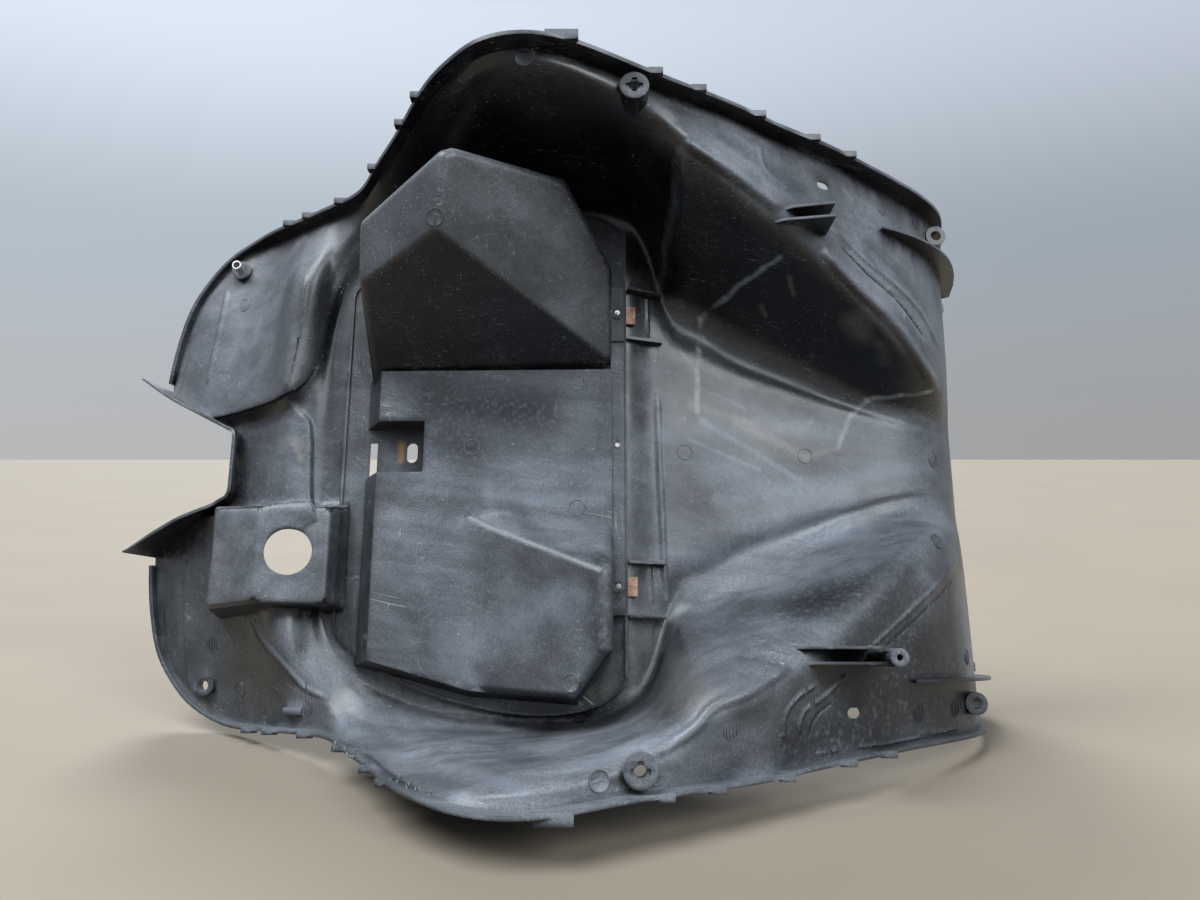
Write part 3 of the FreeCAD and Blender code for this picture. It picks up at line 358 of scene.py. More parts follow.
class Nodes:
    """Builds one material's or group's node tree."""

    def __init__(self, tree):
        self.tree = tree

    def add(self, kind, **values):
        node = self.tree.nodes.new(kind)
        for name, value in values.items():
            setattr(node, name, value)
        return node

    def link(self, source, target):
        self.tree.links.new(source, target)

    def feed(self, socket, value):
        if isinstance(value, bpy.types.NodeSocket):
            self.link(value, socket)
        else:
            socket.default_value = value

    def math(self, operation, first, second=0.0, clamp=False):
        node = self.add("ShaderNodeMath", operation=operation, use_clamp=clamp)
        self.feed(node.inputs[0], first)
        self.feed(node.inputs[1], second)
        return node.outputs[0]

    def vector(self, operation, first, second=(0.0, 0.0, 0.0), output=0):
        node = self.add("ShaderNodeVectorMath", operation=operation)
        self.feed(node.inputs[0], first)
        self.feed(node.inputs[1], second)
        return node.outputs[output]

    def scaled(self, vector, factor):
        node = self.add("ShaderNodeVectorMath", operation="SCALE")
        self.link(vector, node.inputs[0])
        self.feed(node.inputs["Scale"], factor)
        return node.outputs[0]

    def ramp(self, value, low, high, to_low=0.0, to_high=1.0, smooth=True):
        node = self.add("ShaderNodeMapRange",
                        interpolation_type="SMOOTHSTEP" if smooth else "LINEAR")
        self.link(value, node.inputs["Value"])
        self.feed(node.inputs["From Min"], low)
        self.feed(node.inputs["From Max"], high)
        self.feed(node.inputs["To Min"], to_low)
        self.feed(node.inputs["To Max"], to_high)
        return node.outputs["Result"]

    def mix(self, factor, first, second):
        """A colour between two; sockets 6, 7 and output 2 are the colour ones."""
        node = self.add("ShaderNodeMix", data_type="RGBA")
        self.feed(node.inputs["Factor"], factor)
        self.feed(node.inputs[6], first)
        self.feed(node.inputs[7], second)
        return node.outputs[2]

    def place(self, stretch=(1.0, 1.0, 1.0), turn=(0.0, 0.0, 0.0)):
        """Object coordinates, in metres, turned and then stretched."""
        coordinates = self.add("ShaderNodeTexCoord")
        mapping = self.add("ShaderNodeMapping", vector_type="TEXTURE")
        self.link(coordinates.outputs["Object"], mapping.inputs["Vector"])
        mapping.inputs["Scale"].default_value = stretch
        mapping.inputs["Rotation"].default_value = tuple(math.radians(a) for a in turn)
        return mapping.outputs["Vector"]

    def noise(self, vector, scale, detail=3.0, roughness=0.5, distortion=0.0):
        node = self.add("ShaderNodeTexNoise")
        self.link(vector, node.inputs["Vector"])
        node.inputs["Scale"].default_value = scale
        node.inputs["Detail"].default_value = detail
        node.inputs["Roughness"].default_value = roughness
        node.inputs["Distortion"].default_value = distortion
        return node.outputs["Fac"]

    def bump(self, height, strength, distance, normal=None):
        node = self.add("ShaderNodeBump")
        node.inputs["Strength"].default_value = strength
        node.inputs["Distance"].default_value = distance
        self.link(height, node.inputs["Height"])
        if normal is not None:
            self.link(normal, node.inputs["Normal"])
        return node.outputs["Normal"]


def new_material(name):
    material = bpy.data.materials.new(name)
    material.use_nodes = True
    shader = material.node_tree.nodes["Principled BSDF"]
    return material, Nodes(material.node_tree), shader


def streak_group():
    """A node group that gives 1 on a wavy line between two places and falls to 0 beside it."""
    group = bpy.data.node_groups.get("wavy_streak")
    if group:
        return group
    group = bpy.data.node_groups.new("wavy_streak", "ShaderNodeTree")
    for name, kind in (("Place", "NodeSocketVector"), ("Start", "NodeSocketVector"),
                       ("End", "NodeSocketVector"), ("Width", "NodeSocketFloat")):
        group.interface.new_socket(name, in_out="INPUT", socket_type=kind)
    group.interface.new_socket("Mask", in_out="OUTPUT", socket_type="NodeSocketFloat")
    n = Nodes(group)
    given = n.add("NodeGroupInput")
    result = n.add("NodeGroupOutput")
    away = n.vector("SUBTRACT", given.outputs["Place"], given.outputs["Start"])
    run = n.vector("SUBTRACT", given.outputs["End"], given.outputs["Start"])
    along = n.vector("DOT_PRODUCT", away, run, output="Value")
    length = n.vector("DOT_PRODUCT", run, run, output="Value")
    share = n.math("DIVIDE", along, length, clamp=True)
    foot = n.scaled(run, share)
    gap = n.vector("LENGTH", n.vector("SUBTRACT", away, foot), output="Value")
    n.link(n.ramp(gap, 0.0, given.outputs["Width"], 1.0, 0.0), result.inputs["Mask"])
    return group


def streak(n, place, start, end, width):
    node = n.add("ShaderNodeGroup", node_tree=streak_group())
    n.link(place, node.inputs["Place"])
    node.inputs["Start"].default_value = start
    node.inputs["End"].default_value = end
    node.inputs["Width"].default_value = width
    return node.outputs["Mask"]


def scratches(n, turn, scale, length, share, width=0.010):
    """Fine scratches that run one way and come in patches."""
    lines = n.noise(n.place(stretch=(1.0, 1.0, length), turn=turn), scale, detail=0.0)
    thin = n.ramp(n.math("ABSOLUTE", n.math("SUBTRACT", lines, 0.5)), 0.0, width, 1.0, 0.0)
    patches = n.ramp(n.noise(n.place(turn=turn), 31.0, detail=2.0), 1.0 - share, 1.08 - share)
    return n.math("MULTIPLY", thin, patches)


def worn_plastic(name, film_share, streaks=()):
    """Black plastic with a dust film that also paints light and shade, dirt in its corners,
    scratches, water lines, and painted sheen and shade in strokes.
    """
    settings = shield_settings()
    material, n, shader = new_material(name)
    place = n.place()
    base = settings.plastic_color[:] + (1.0,)
    dust = settings.dust_color[:] + (1.0,)
    mud = settings.mud_color[:] + (1.0,)
    dust_and_light_share = n.add("ShaderNodeAttribute", attribute_type="GEOMETRY", attribute_name="dust_and_painted_light")
    corner = n.add("ShaderNodeAttribute", attribute_type="GEOMETRY", attribute_name="corner_dirt")

    # The grey film, in clouds and in wiped strokes, thickest on faces open to the light above
    # (painted light) and thinnest on faces in painted shade
    cloud = n.noise(place, 11.0, detail=6.0, roughness=0.6, distortion=0.6)
    wiped = n.noise(n.place(stretch=(1.0, 1.0, 7.0), turn=(0.0, 8.0, 0.0)), 75.0, detail=4.0,
                    roughness=0.55, distortion=0.8)
    film = n.math("MULTIPLY", n.ramp(cloud, 0.36, 0.66, 0.45, 1.0),
                  n.ramp(wiped, 0.34, 0.66, 0.70, 1.05))
    # The dust share is also painted light: it greys the faces open to the light above and leaves
    # the faces in shade black
    film = n.math("MULTIPLY", film, n.ramp(dust_and_light_share.outputs["Fac"], 0.12, 0.62, 0.005, film_share))
    grit = n.noise(place, 800.0, detail=3.0, roughness=0.7)
    film = n.math("MULTIPLY", film, n.ramp(grit, 0.3, 0.7, 0.65, 1.25), clamp=True)
    color = n.mix(film, base, dust)

    # Beige dirt in the corners
    dirt = n.ramp(n.noise(place, 55.0, detail=6.0, roughness=0.7), 0.40, 0.66)
    dirt = n.math("MULTIPLY", dirt, n.ramp(corner.outputs["Fac"], 0.25, 0.75, 0.03, 0.40))
    dirt = n.math("MULTIPLY", dirt, n.ramp(dust_and_light_share.outputs["Fac"], 0.05, 0.35, 0.02, 1.0))
    color = n.mix(dirt, color, mud)

    # Pale specks and drops
    specks = n.ramp(n.noise(place, 620.0, detail=1.0), 0.735, 0.76)
    patches = n.ramp(n.noise(place, 21.0, detail=3.0), 0.42, 0.62, 0.1, 0.8)
    specks = n.math("MULTIPLY", specks, patches)
    color = n.mix(specks, color, (0.50, 0.50, 0.47, 1.0))

    marks = None
    for turn, scale, length, share in (
            ((0.0, 12.0, 0.0), 420.0, 30.0, 0.50), ((0.0, 38.0, 10.0), 380.0, 24.0, 0.46),
            ((0.0, -35.0, 0.0), 460.0, 34.0, 0.44), ((0.0, 86.0, 0.0), 400.0, 20.0, 0.42)):
        mark = scratches(n, turn, scale, length, share)
        marks = mark if marks is None else n.math("MAXIMUM", marks, mark)
    color = n.mix(n.math("MULTIPLY", marks, 0.42), color, (0.40, 0.42, 0.45, 1.0))

    if streaks:
        wave = n.add("ShaderNodeTexNoise")
        n.link(place, wave.inputs["Vector"])
        wave.inputs["Scale"].default_value = 60.0
        shift = n.vector("SUBTRACT", wave.outputs["Color"], (0.5, 0.5, 0.5))
        wavy = n.vector("ADD", place, n.scaled(shift, 0.006))
        grain = n.ramp(n.noise(place, 300.0, detail=3.0), 0.22, 0.55, 0.35, 1.0)
        # Each stroke mixes in its tone: stains, painted sheen and painted shade
        for start, end, width, tone, strength in streaks:
            mask = n.math("MULTIPLY", streak(n, wavy, start, end, width), grain)
            color = n.mix(n.math("MULTIPLY", mask, strength), color, tone + (1.0,))

    n.link(color, shader.inputs["Base Color"])
    rough = n.ramp(n.noise(place, 24.0, detail=4.0), 0.3, 0.7, 0.25, 0.38)
    rough = n.math("ADD", rough, n.math("MULTIPLY", film, 0.22), clamp=True)
    n.link(rough, shader.inputs["Roughness"])
    shader.inputs["Specular IOR Level"].default_value = 0.48
    normal = n.bump(n.noise(place, 2600.0, detail=2.0), 0.12, 0.0004)
    normal = n.bump(n.noise(place, 26.0, detail=3.0), 0.30, 0.0030, normal)
    normal = n.bump(marks, 0.15, 0.0003, normal)
    n.link(normal, shader.inputs["Normal"])
    return material


def torn_plastic(name):
    """The pale, frayed plastic of a torn edge."""
    material, n, shader = new_material(name)
    place = n.place()
    tone = n.ramp(n.noise(place, 500.0, detail=3.0), 0.35, 0.65)
    color = n.mix(tone, (0.05, 0.055, 0.06, 1.0), (0.36, 0.38, 0.40, 1.0))
    n.link(color, shader.inputs["Base Color"])
    shader.inputs["Roughness"].default_value = 0.72
    n.link(n.bump(n.noise(place, 900.0, detail=3.0), 0.5, 0.0005), shader.inputs["Normal"])
    return material


def rusty_steel(name):
    settings = shield_settings()
    material, n, shader = new_material(name)
    place = n.place()
    rust = settings.rust_color[:] + (1.0,)
    patches = n.noise(place, 170.0, detail=6.0, roughness=0.7)
    pits = n.noise(place, 900.0, detail=3.0)
    color = n.mix(n.ramp(patches, 0.34, 0.66), (0.50, 0.34, 0.27, 1.0), rust)
    color = n.mix(n.ramp(pits, 0.56, 0.68), color, (0.13, 0.05, 0.03, 1.0))
    n.link(color, shader.inputs["Base Color"])
    n.link(n.ramp(patches, 0.3, 0.7, 0.55, 0.85), shader.inputs["Roughness"])
    shader.inputs["Metallic"].default_value = 0.25
    n.link(n.bump(pits, 0.45, 0.0006), shader.inputs["Normal"])
    return material


def plated_steel(name, tarnish):
    settings = shield_settings()
    material, n, shader = new_material(name)
    place = n.place()
    steel = settings.steel_color[:] + (1.0,)
    spots = n.ramp(n.noise(place, 420.0, detail=5.0, roughness=0.65), 0.5, 0.7, 0.0, tarnish)
    n.link(n.mix(spots, steel, (0.17, 0.11, 0.07, 1.0)), shader.inputs["Base Color"])
    n.link(n.ramp(spots, 0.0, 1.0, 0.30, 0.8, smooth=False), shader.inputs["Roughness"])
    shader.inputs["Metallic"].default_value = 0.85
    n.link(n.bump(n.noise(place, 1500.0, detail=3.0), 0.25, 0.0003), shader.inputs["Normal"])
    return material


def kept_material(name, build, *values):
    return bpy.data.materials.get(name) or build(name, *values)


def strokes(nodes):
    """Water lines, smears, painted sheen, painted shade and rust runs on some nodes, as places in
    the part's frame.
    """
    settings = shield_settings()
    mud = settings.mud_color[:]
    pale = settings.smear_and_sheen_color[:]
    clean = settings.plastic_color[:]
    dried = tuple(0.5 * (a + b) for a, b in zip(mud, pale))
    found = []
    wanted = []
    for (u, v), (u2, v2) in WATER_LINES:
        count = math.ceil(math.hypot(u2 - u, v2 - v) / WATER_STEP)
        places = [(u + (u2 - u) * k / count, v + (v2 - v) * k / count) for k in range(count + 1)]
        wanted += [(a, b, 3.6, 0.85, dried) for a, b in zip(places, places[1:])]
    wanted += [(a, b, width, strength, mud) for a, b, width, strength in MUD_SMEARS]
    # The plastic's own colour, as cleaner plastic and as painted shade
    wanted += [(a, b, width, strength, clean) for a, b, width, strength in CLEAN_PLACES_AND_PAINTED_SHADE]
    # Pale strokes: wiped smears and painted sheen
    wanted += [(a, b, width, strength, pale) for a, b, width, strength in PALE_SMEARS_AND_PAINTED_SHEEN]
    wanted.append((RUST_RUN[0], RUST_RUN[1], 5.0, 0.85, (0.34, 0.19, 0.07)))
    own = Surface(nodes)
    for a, b, width, strength, tone in wanted:
        start = SURFACE.at_pixel(*a)[0]
        end = SURFACE.at_pixel(*b)[0]
        if own.tree.find_nearest((start + end) / 2)[3] < 12.0 * MM:
            found.append((start, end, width * MM, tone, strength))
    return found


def shield_plastic():
    return bpy.data.materials.get("worn_shield_plastic") or worn_plastic(
        "worn_shield_plastic", SHIELD_FILM, strokes(("leg_shield",)))


def tub_plastic():
    return bpy.data.materials.get("worn_tub_plastic") or worn_plastic(
        "worn_tub_plastic", TUB_FILM, strokes(("glovebox_tub",)))


# Pieces

def to_pixels(points):
    """Where points show in the picture, as pixels."""
    away = points - np.array(CAMERA_PLACE)
    ahead = away @ np.array(VIEW_FORWARD)
    u = PICTURE_WIDTH / 2 + FOCAL_PIXELS * (away @ np.array(VIEW_RIGHT)) / ahead
    v = PICTURE_HEIGHT / 2 - FOCAL_PIXELS * (away @ np.array(VIEW_UP)) / ahead
    return np.stack([u, v], axis=1)


def beside_route(pixels, route, reach):
    """The points within reach of a route, their distance, side and share of the way along it."""
    places = [(p.x, p.y) for p in smooth_route(route, 6.0)]
    corners = np.array(places)
    inside = ((pixels > corners.min(axis=0) - reach) & (pixels < corners.max(axis=0) + reach))
    chosen = np.flatnonzero(inside.all(axis=1))
    pixels = pixels[chosen]
    best = np.full(len(pixels), 1e9)
    side = np.zeros(len(pixels))
    along = np.zeros(len(pixels))
    total = len(places) - 1
    for k in range(total):
        start = np.array(places[k])
        run = np.array(places[k + 1]) - start
        away = pixels - start
        share = np.clip((away @ run) / (run @ run), 0.0, 1.0)
        gap = np.linalg.norm(away - share[:, None] * run, axis=1)
        near = gap < best
        best[near] = gap[near]
        turn = run[0] * away[:, 1] - run[1] * away[:, 0]
        side[near] = -np.sign(turn[near])
        along[near] = ((k + share) / total)[near]
    near = best < reach
    return chosen[near], best[near], side[near], along[near]


def mesh_points(mesh):
    points = np.empty(len(mesh.vertices) * 3)
    mesh.vertices.foreach_get("co", points)
    return points.reshape(-1, 3)


def mesh_normals(mesh):
    normals = np.empty(len(mesh.vertices) * 3)
    mesh.vertices.foreach_get("normal", normals)
    return normals.reshape(-1, 3)


def edge_ends(mesh):
    """The two points of each edge, and its length."""
    ends = np.empty(len(mesh.edges) * 2, int)
    mesh.edges.foreach_get("vertices", ends)
    ends = ends.reshape(-1, 2)
    points = mesh_points(mesh)
    return ends, np.linalg.norm(points[ends[:, 0]] - points[ends[:, 1]], axis=1)


def split_edges(mesh, wanted, **corner):
    """Splits the wanted edges of the active object in half and leaves only triangles."""
    bpy.ops.object.mode_set(mode="EDIT")
    bpy.ops.mesh.select_mode(type="EDGE")
    bpy.ops.mesh.select_all(action="DESELECT")
    bpy.ops.object.mode_set(mode="OBJECT")
    mesh.edges.foreach_set("select", wanted)
    bpy.ops.object.mode_set(mode="EDIT")
    bpy.ops.mesh.subdivide(number_cuts=1, **corner)
    bpy.ops.mesh.quads_convert_to_tris()
    bpy.ops.object.mode_set(mode="OBJECT")


def facing_camera(mesh, points, near):
    """Which of the near points are on the hidden side and not behind anything."""
    normals = mesh_normals(mesh)
    rays = points - np.array(CAMERA_PLACE)
    reach = np.linalg.norm(rays, axis=1)
    rays /= reach[:, None]
    seen = near & ((normals * rays).sum(axis=1) < -0.02)
    for k in np.flatnonzero(seen):
        hit = SURFACE.tree.ray_cast(CAMERA_PLACE, Vector(rays[k]))
        if hit[0] is not None and hit[3] < reach[k] - 3.0 * MM:
            seen[k] = False
    return seen, normals


def refine_near(obj, routes, longest):
    """Splits the edges that lie near the routes until they are short."""
    activate(obj)
    for _ in range(4):
        mesh = obj.data
        pixels = to_pixels(mesh_points(mesh))
        near = np.zeros(len(pixels), bool)
        for route, width in routes:
            near[beside_route(pixels, route, width + 1.0)[0]] = True
        ends, length = edge_ends(mesh)
        facing = mesh_normals(mesh) @ np.array(VIEW_FORWARD) < 0.25
        wanted = ((near & facing)[ends].any(axis=1)) & (length > longest)
        if not wanted.any():
            break
        split_edges(mesh, wanted)


def press_forms(obj):
    """Raises the moulded lines, folds and steps out of the hidden side."""
    routes = [(route, width) for route, width, _ in RAISED_LINES + SUNK_LINES]
    routes += [(route, 3.0) for route, _, _ in STEPS_IN_FACE]
    refine_near(obj, routes, 2.0 * MM)
    mesh = obj.data
    points = mesh_points(mesh)
    pixels = to_pixels(points)
    rise = np.zeros(len(points))
    for lines, sign in ((RAISED_LINES, 1.0), (SUNK_LINES, -1.0)):
        for route, width, height in lines:
            chosen, gap, _, along = beside_route(pixels, route, width)
            ends = np.clip(np.minimum(along, 1.0 - along) / 0.10, 0.0, 1.0)
            profile = 0.5 * (1.0 + np.cos(np.pi * np.clip(gap / width, 0.0, 1.0)))
            rise[chosen] += sign * height * MM * profile * ends
    for route, reach, height in STEPS_IN_FACE:
        chosen, gap, side, along = beside_route(pixels, route, reach)
        ends = np.clip(np.minimum(along, 1.0 - along) / 0.12, 0.0, 1.0)
        edge = np.clip((gap * side + 3.0) / 6.0, 0.0, 1.0)
        edge = edge * edge * (3.0 - 2.0 * edge)
        fade = 0.5 * (1.0 + np.cos(np.pi * np.clip(gap / reach, 0.0, 1.0)))
        rise[chosen] += height * MM * edge * fade * ends
    seen, normals = facing_camera(mesh, points, np.abs(rise) > 0.01 * MM)
    points[seen] += normals[seen] * rise[seen, None]
    mesh.vertices.foreach_set("co", points.ravel())
    mesh.update()


def select_points(obj, chosen):
    """Leaves only the given points selected, in edit mode."""
    bpy.ops.object.mode_set(mode="EDIT")
    bpy.ops.mesh.select_mode(type="VERT")
    bpy.ops.mesh.select_all(action="DESELECT")
    bpy.ops.object.mode_set(mode="OBJECT")
    obj.data.vertices.foreach_set("select", chosen)
    bpy.ops.object.mode_set(mode="EDIT")


def in_space(points, low, high):
    return ((points > np.array(low)) & (points < np.array(high))).all(axis=1)


def soften(obj, low, high, longest, rounds, kept=None):
    """Rounds the forms in a space: splits its long edges and smooths its points."""
    activate(obj)
    mesh = obj.data
    for _ in range(5):
        ends, length = edge_ends(mesh)
        wanted = in_space(mesh_points(mesh), low, high)[ends].any(axis=1) & (length > longest)
        if not wanted.any():
            break
        split_edges(mesh, wanted)
    points = mesh_points(mesh)
    chosen = in_space(points, low, high)
    if kept is not None:
        chosen &= ~kept(points)
    select_points(obj, chosen)
    bpy.ops.mesh.vertices_smooth(factor=0.5, repeat=rounds)
    bpy.ops.object.mode_set(mode="OBJECT")


def round_lock_hole(points):
    """Which points are on or close to the lock hole."""
    away = points - np.array(LOCK_HOLE_PLACE)
    axis = np.array(LOCK_HOLE_AXIS)
    along = away @ axis
    return np.linalg.norm(away - along[:, None] * axis, axis=1) < LOCK_HOLE_KEPT


def split_long_edges(obj, longest):
    """Adds points to the large flat faces, so that the dust and the painted light can vary over
    them.
    """
    activate(obj)
    for _ in range(6):
        wanted = edge_ends(obj.data)[1] > longest
        if not wanted.any():
            break
        split_edges(obj.data, wanted, quadcorner="INNERVERT")


def paint_dust_and_light(obj):
    """Stores on each point how much dust has settled there from above, as the part lies, and how
    open it is to the light from above: the share is dust and painted light, and leaves the faces in
    shade black.
    """
    above = DUST_AND_LIGHT_FROM
    side = above.cross(VIEW_FORWARD).normalized()
    front = above.cross(side)
    falls = [above]
    for ring, lean in ((5, 0.45), (7, 0.95)):
        for k in range(ring):
            turn = 2.0 * math.pi * (k + 0.5 * (ring % 2)) / ring
            aside = side * math.cos(turn) + front * math.sin(turn)
            falls.append((above + aside * lean).normalized())
    mesh = obj.data
    shares = []
    for vertex in mesh.vertices:
        normal = vertex.normal
        start = vertex.co + normal * 0.6 * MM
        total = 0.0
        for fall in falls:
            facing = normal.dot(fall)
            if facing > 0.0 and SURFACE.tree.ray_cast(start, fall, 0.6)[0] is None:
                total += facing
        handled = HANDLED_DUST * max(0.0, normal.dot(VIEW_FORWARD))
        shares.append(max(total / len(falls), handled))
    layer = mesh.attributes.new("dust_and_painted_light", "FLOAT", "POINT")
    layer.data.foreach_set("value", shares)
    corners = []
    around = (VIEW_UP, -VIEW_UP, VIEW_RIGHT, -VIEW_RIGHT, -VIEW_FORWARD)
    for vertex in mesh.vertices:
        normal = vertex.normal
        start = vertex.co + normal * 0.6 * MM
        met = 0
        for way in around:
            ray = (normal * 0.6 + way).normalized()
            met += SURFACE.tree.ray_cast(start, ray, 28.0 * MM)[0] is not None
        corners.append(met / len(around))
    layer = mesh.attributes.new("corner_dirt", "FLOAT", "POINT")
    layer.data.foreach_set("value", corners)


class LEGSHIELD_OT_shield(bpy.types.Operator):
    """Dress the shield moulding in worn black plastic"""
    bl_idname = "leg_shield.shield"
    bl_label = "Shield moulding"

    def execute(self, context):
        piece = copy_of_node("leg_shield", "shield_moulding")
        soften(piece, HOUSING_LOW, HOUSING_HIGH, 3.5 * MM, 9, round_lock_hole)
        press_forms(piece)
        bpy.ops.object.shade_smooth_by_angle(angle=SHIELD_SHARP)
        paint_dust_and_light(piece)
        finish_piece(piece, shield_plastic(), "leg_shield")
        return {"FINISHED"}


class LEGSHIELD_OT_tub(bpy.types.Operator):
    """Dress the glovebox tub in worn black plastic"""
    bl_idname = "leg_shield.tub"
    bl_label = "Glovebox tub"

    def execute(self, context):
        piece = copy_of_node("glovebox_tub", "tub_moulding", TUB_SHARP)
        split_long_edges(piece, 9.0 * MM)
        soften(piece, WEDGE_LOW, WEDGE_HIGH, 6.0 * MM, 24)
        bpy.ops.object.shade_smooth_by_angle(angle=TUB_SHARP)
        paint_dust_and_light(piece)
        finish_piece(piece, tub_plastic(), "glovebox_tub")
        return {"FINISHED"}


def select_top(obj, direction, least=0.9):
    """In edit mode, selects only the faces that look in one direction."""
    bpy.ops.mesh.select_mode(type="FACE")
    bpy.ops.mesh.select_all(action="DESELECT")
    bpy.ops.object.mode_set(mode="OBJECT")
    for face in obj.data.polygons:
        face.select = face.normal.dot(direction) > least
    bpy.ops.object.mode_set(mode="EDIT")


def extrude_up(height):
    """Extrudes what is selected along +Z."""
    bpy.ops.mesh.extrude_region_move(TRANSFORM_OT_translate={"value": (0.0, 0.0, height)})


def turn_to(normal):
    """The turn that brings +Z to a surface normal."""
    return normal.to_track_quat("Z", "Y").to_matrix().to_4x4()


class LEGSHIELD_OT_ejector_marks(bpy.types.Operator):
    """Model the round marks that the mould's ejector pins left"""
    bl_idname = "leg_shield.ejector_marks"
    bl_label = "Ejector marks"

    def execute(self, context):
        plain = self.mark(context, bars=0)
        barred = self.mark(context, bars=4)
        marks = []
        for model, places in ((plain, EJECTOR_MARKS), (barred, BARRED_MARKS)):
            for place in places:
                point, normal = SURFACE.at_pixel(*place)
                mark = bpy.data.objects.new("mark", model.data.copy())
                mark.data.transform(Matrix.Translation(point) @ turn_to(normal))
                context.scene.collection.objects.link(mark)
                marks.append(mark)
            bpy.data.objects.remove(model)
        piece = join_all(marks, "ejector_marks")
        paint_dust_and_light(piece)
        finish_piece(piece, shield_plastic())
        return {"FINISHED"}

    def mark(self, context, bars):
        """A thin ring around a sunk disc, with raised bars across it if any."""
        settings = shield_settings()
        radius = settings.mark_radius
        height = settings.mark_height
        sunk = 0.5 * MM
        bpy.ops.object.select_all(action="DESELECT")
        bpy.ops.mesh.primitive_cylinder_add(vertices=32, radius=radius, depth=height + sunk,
                                            location=(0.0, 0.0, (height - sunk) / 2))
        model = settle(context.active_object)
        bpy.ops.object.mode_set(mode="EDIT")
        select_top(model, Vector((0.0, 0.0, 1.0)))
        bpy.ops.mesh.inset(thickness=0.6 * MM)
        extrude_up(-height * 1.3)
        bpy.ops.object.mode_set(mode="OBJECT")
        bevel_edges(model, 0.12 * MM)
        parts = [model]
        for k in range(bars):
            across = (2.0 * (k + 0.5) / bars - 1.0) * radius * 0.80
            reach = math.sqrt(radius * radius - across * across) * 0.9
            bpy.ops.object.select_all(action="DESELECT")
            bpy.ops.mesh.primitive_cube_add(size=1.0, location=(0.0, across, 0.0))
            bar = context.active_object
            bar.scale = (2.0 * reach, 0.8 * MM, 2.0 * height)
            parts.append(bevel_edges(settle(bar), 0.15 * MM))
        return join_all(parts, "mark_model") if bars else model


class LEGSHIELD_OT_torn_edge(bpy.types.Operator):
    """Model the frayed shreds where the rim is torn"""
    bl_idname = "leg_shield.torn_edge"
    bl_label = "Torn edge"

    def execute(self, context):
        draw = random.Random(11)
        shreds = []
        for place in TORN_PLACES:
            for _ in range(3):
                point, normal = SURFACE.at_pixel(place[0] + draw.uniform(-4, 4),
                                                 place[1] + draw.uniform(-3, 3))
                length = draw.uniform(2.5, 6.0) * MM
                bpy.ops.object.select_all(action="DESELECT")
                bpy.ops.mesh.primitive_cone_add(vertices=6, radius1=draw.uniform(0.7, 1.3) * MM,
                                                radius2=0.1 * MM, depth=length,
                                                location=(0.0, 0.0, length / 2 - 0.6 * MM))
                shred = settle(context.active_object)
                bpy.ops.object.mode_set(mode="EDIT")
                bpy.ops.mesh.select_all(action="SELECT")
                bpy.ops.mesh.subdivide(number_cuts=2)
                bpy.ops.transform.resize(value=(1.0, 0.35, 1.0))
                bpy.ops.object.mode_set(mode="OBJECT")
                curl = draw.uniform(80.0, 220.0)
                for vertex in shred.data.vertices:
                    vertex.co.x += curl * vertex.co.z ** 2 * (1 if draw.random() > 0.1 else 0.9)
                lean = Vector((draw.uniform(-1, 1), draw.uniform(-1, 1), draw.uniform(-1, 1))) * 0.7
                turn = turn_to((normal + lean).normalized())
                shred.data.transform(Matrix.Translation(point) @ turn)
                bpy.ops.object.shade_smooth_by_angle(angle=math.radians(50.0))
                shreds.append(shred)
        piece = join_all(shreds, "torn_shreds")
        finish_piece(piece, kept_material("torn_plastic", torn_plastic))
        return {"FINISHED"}


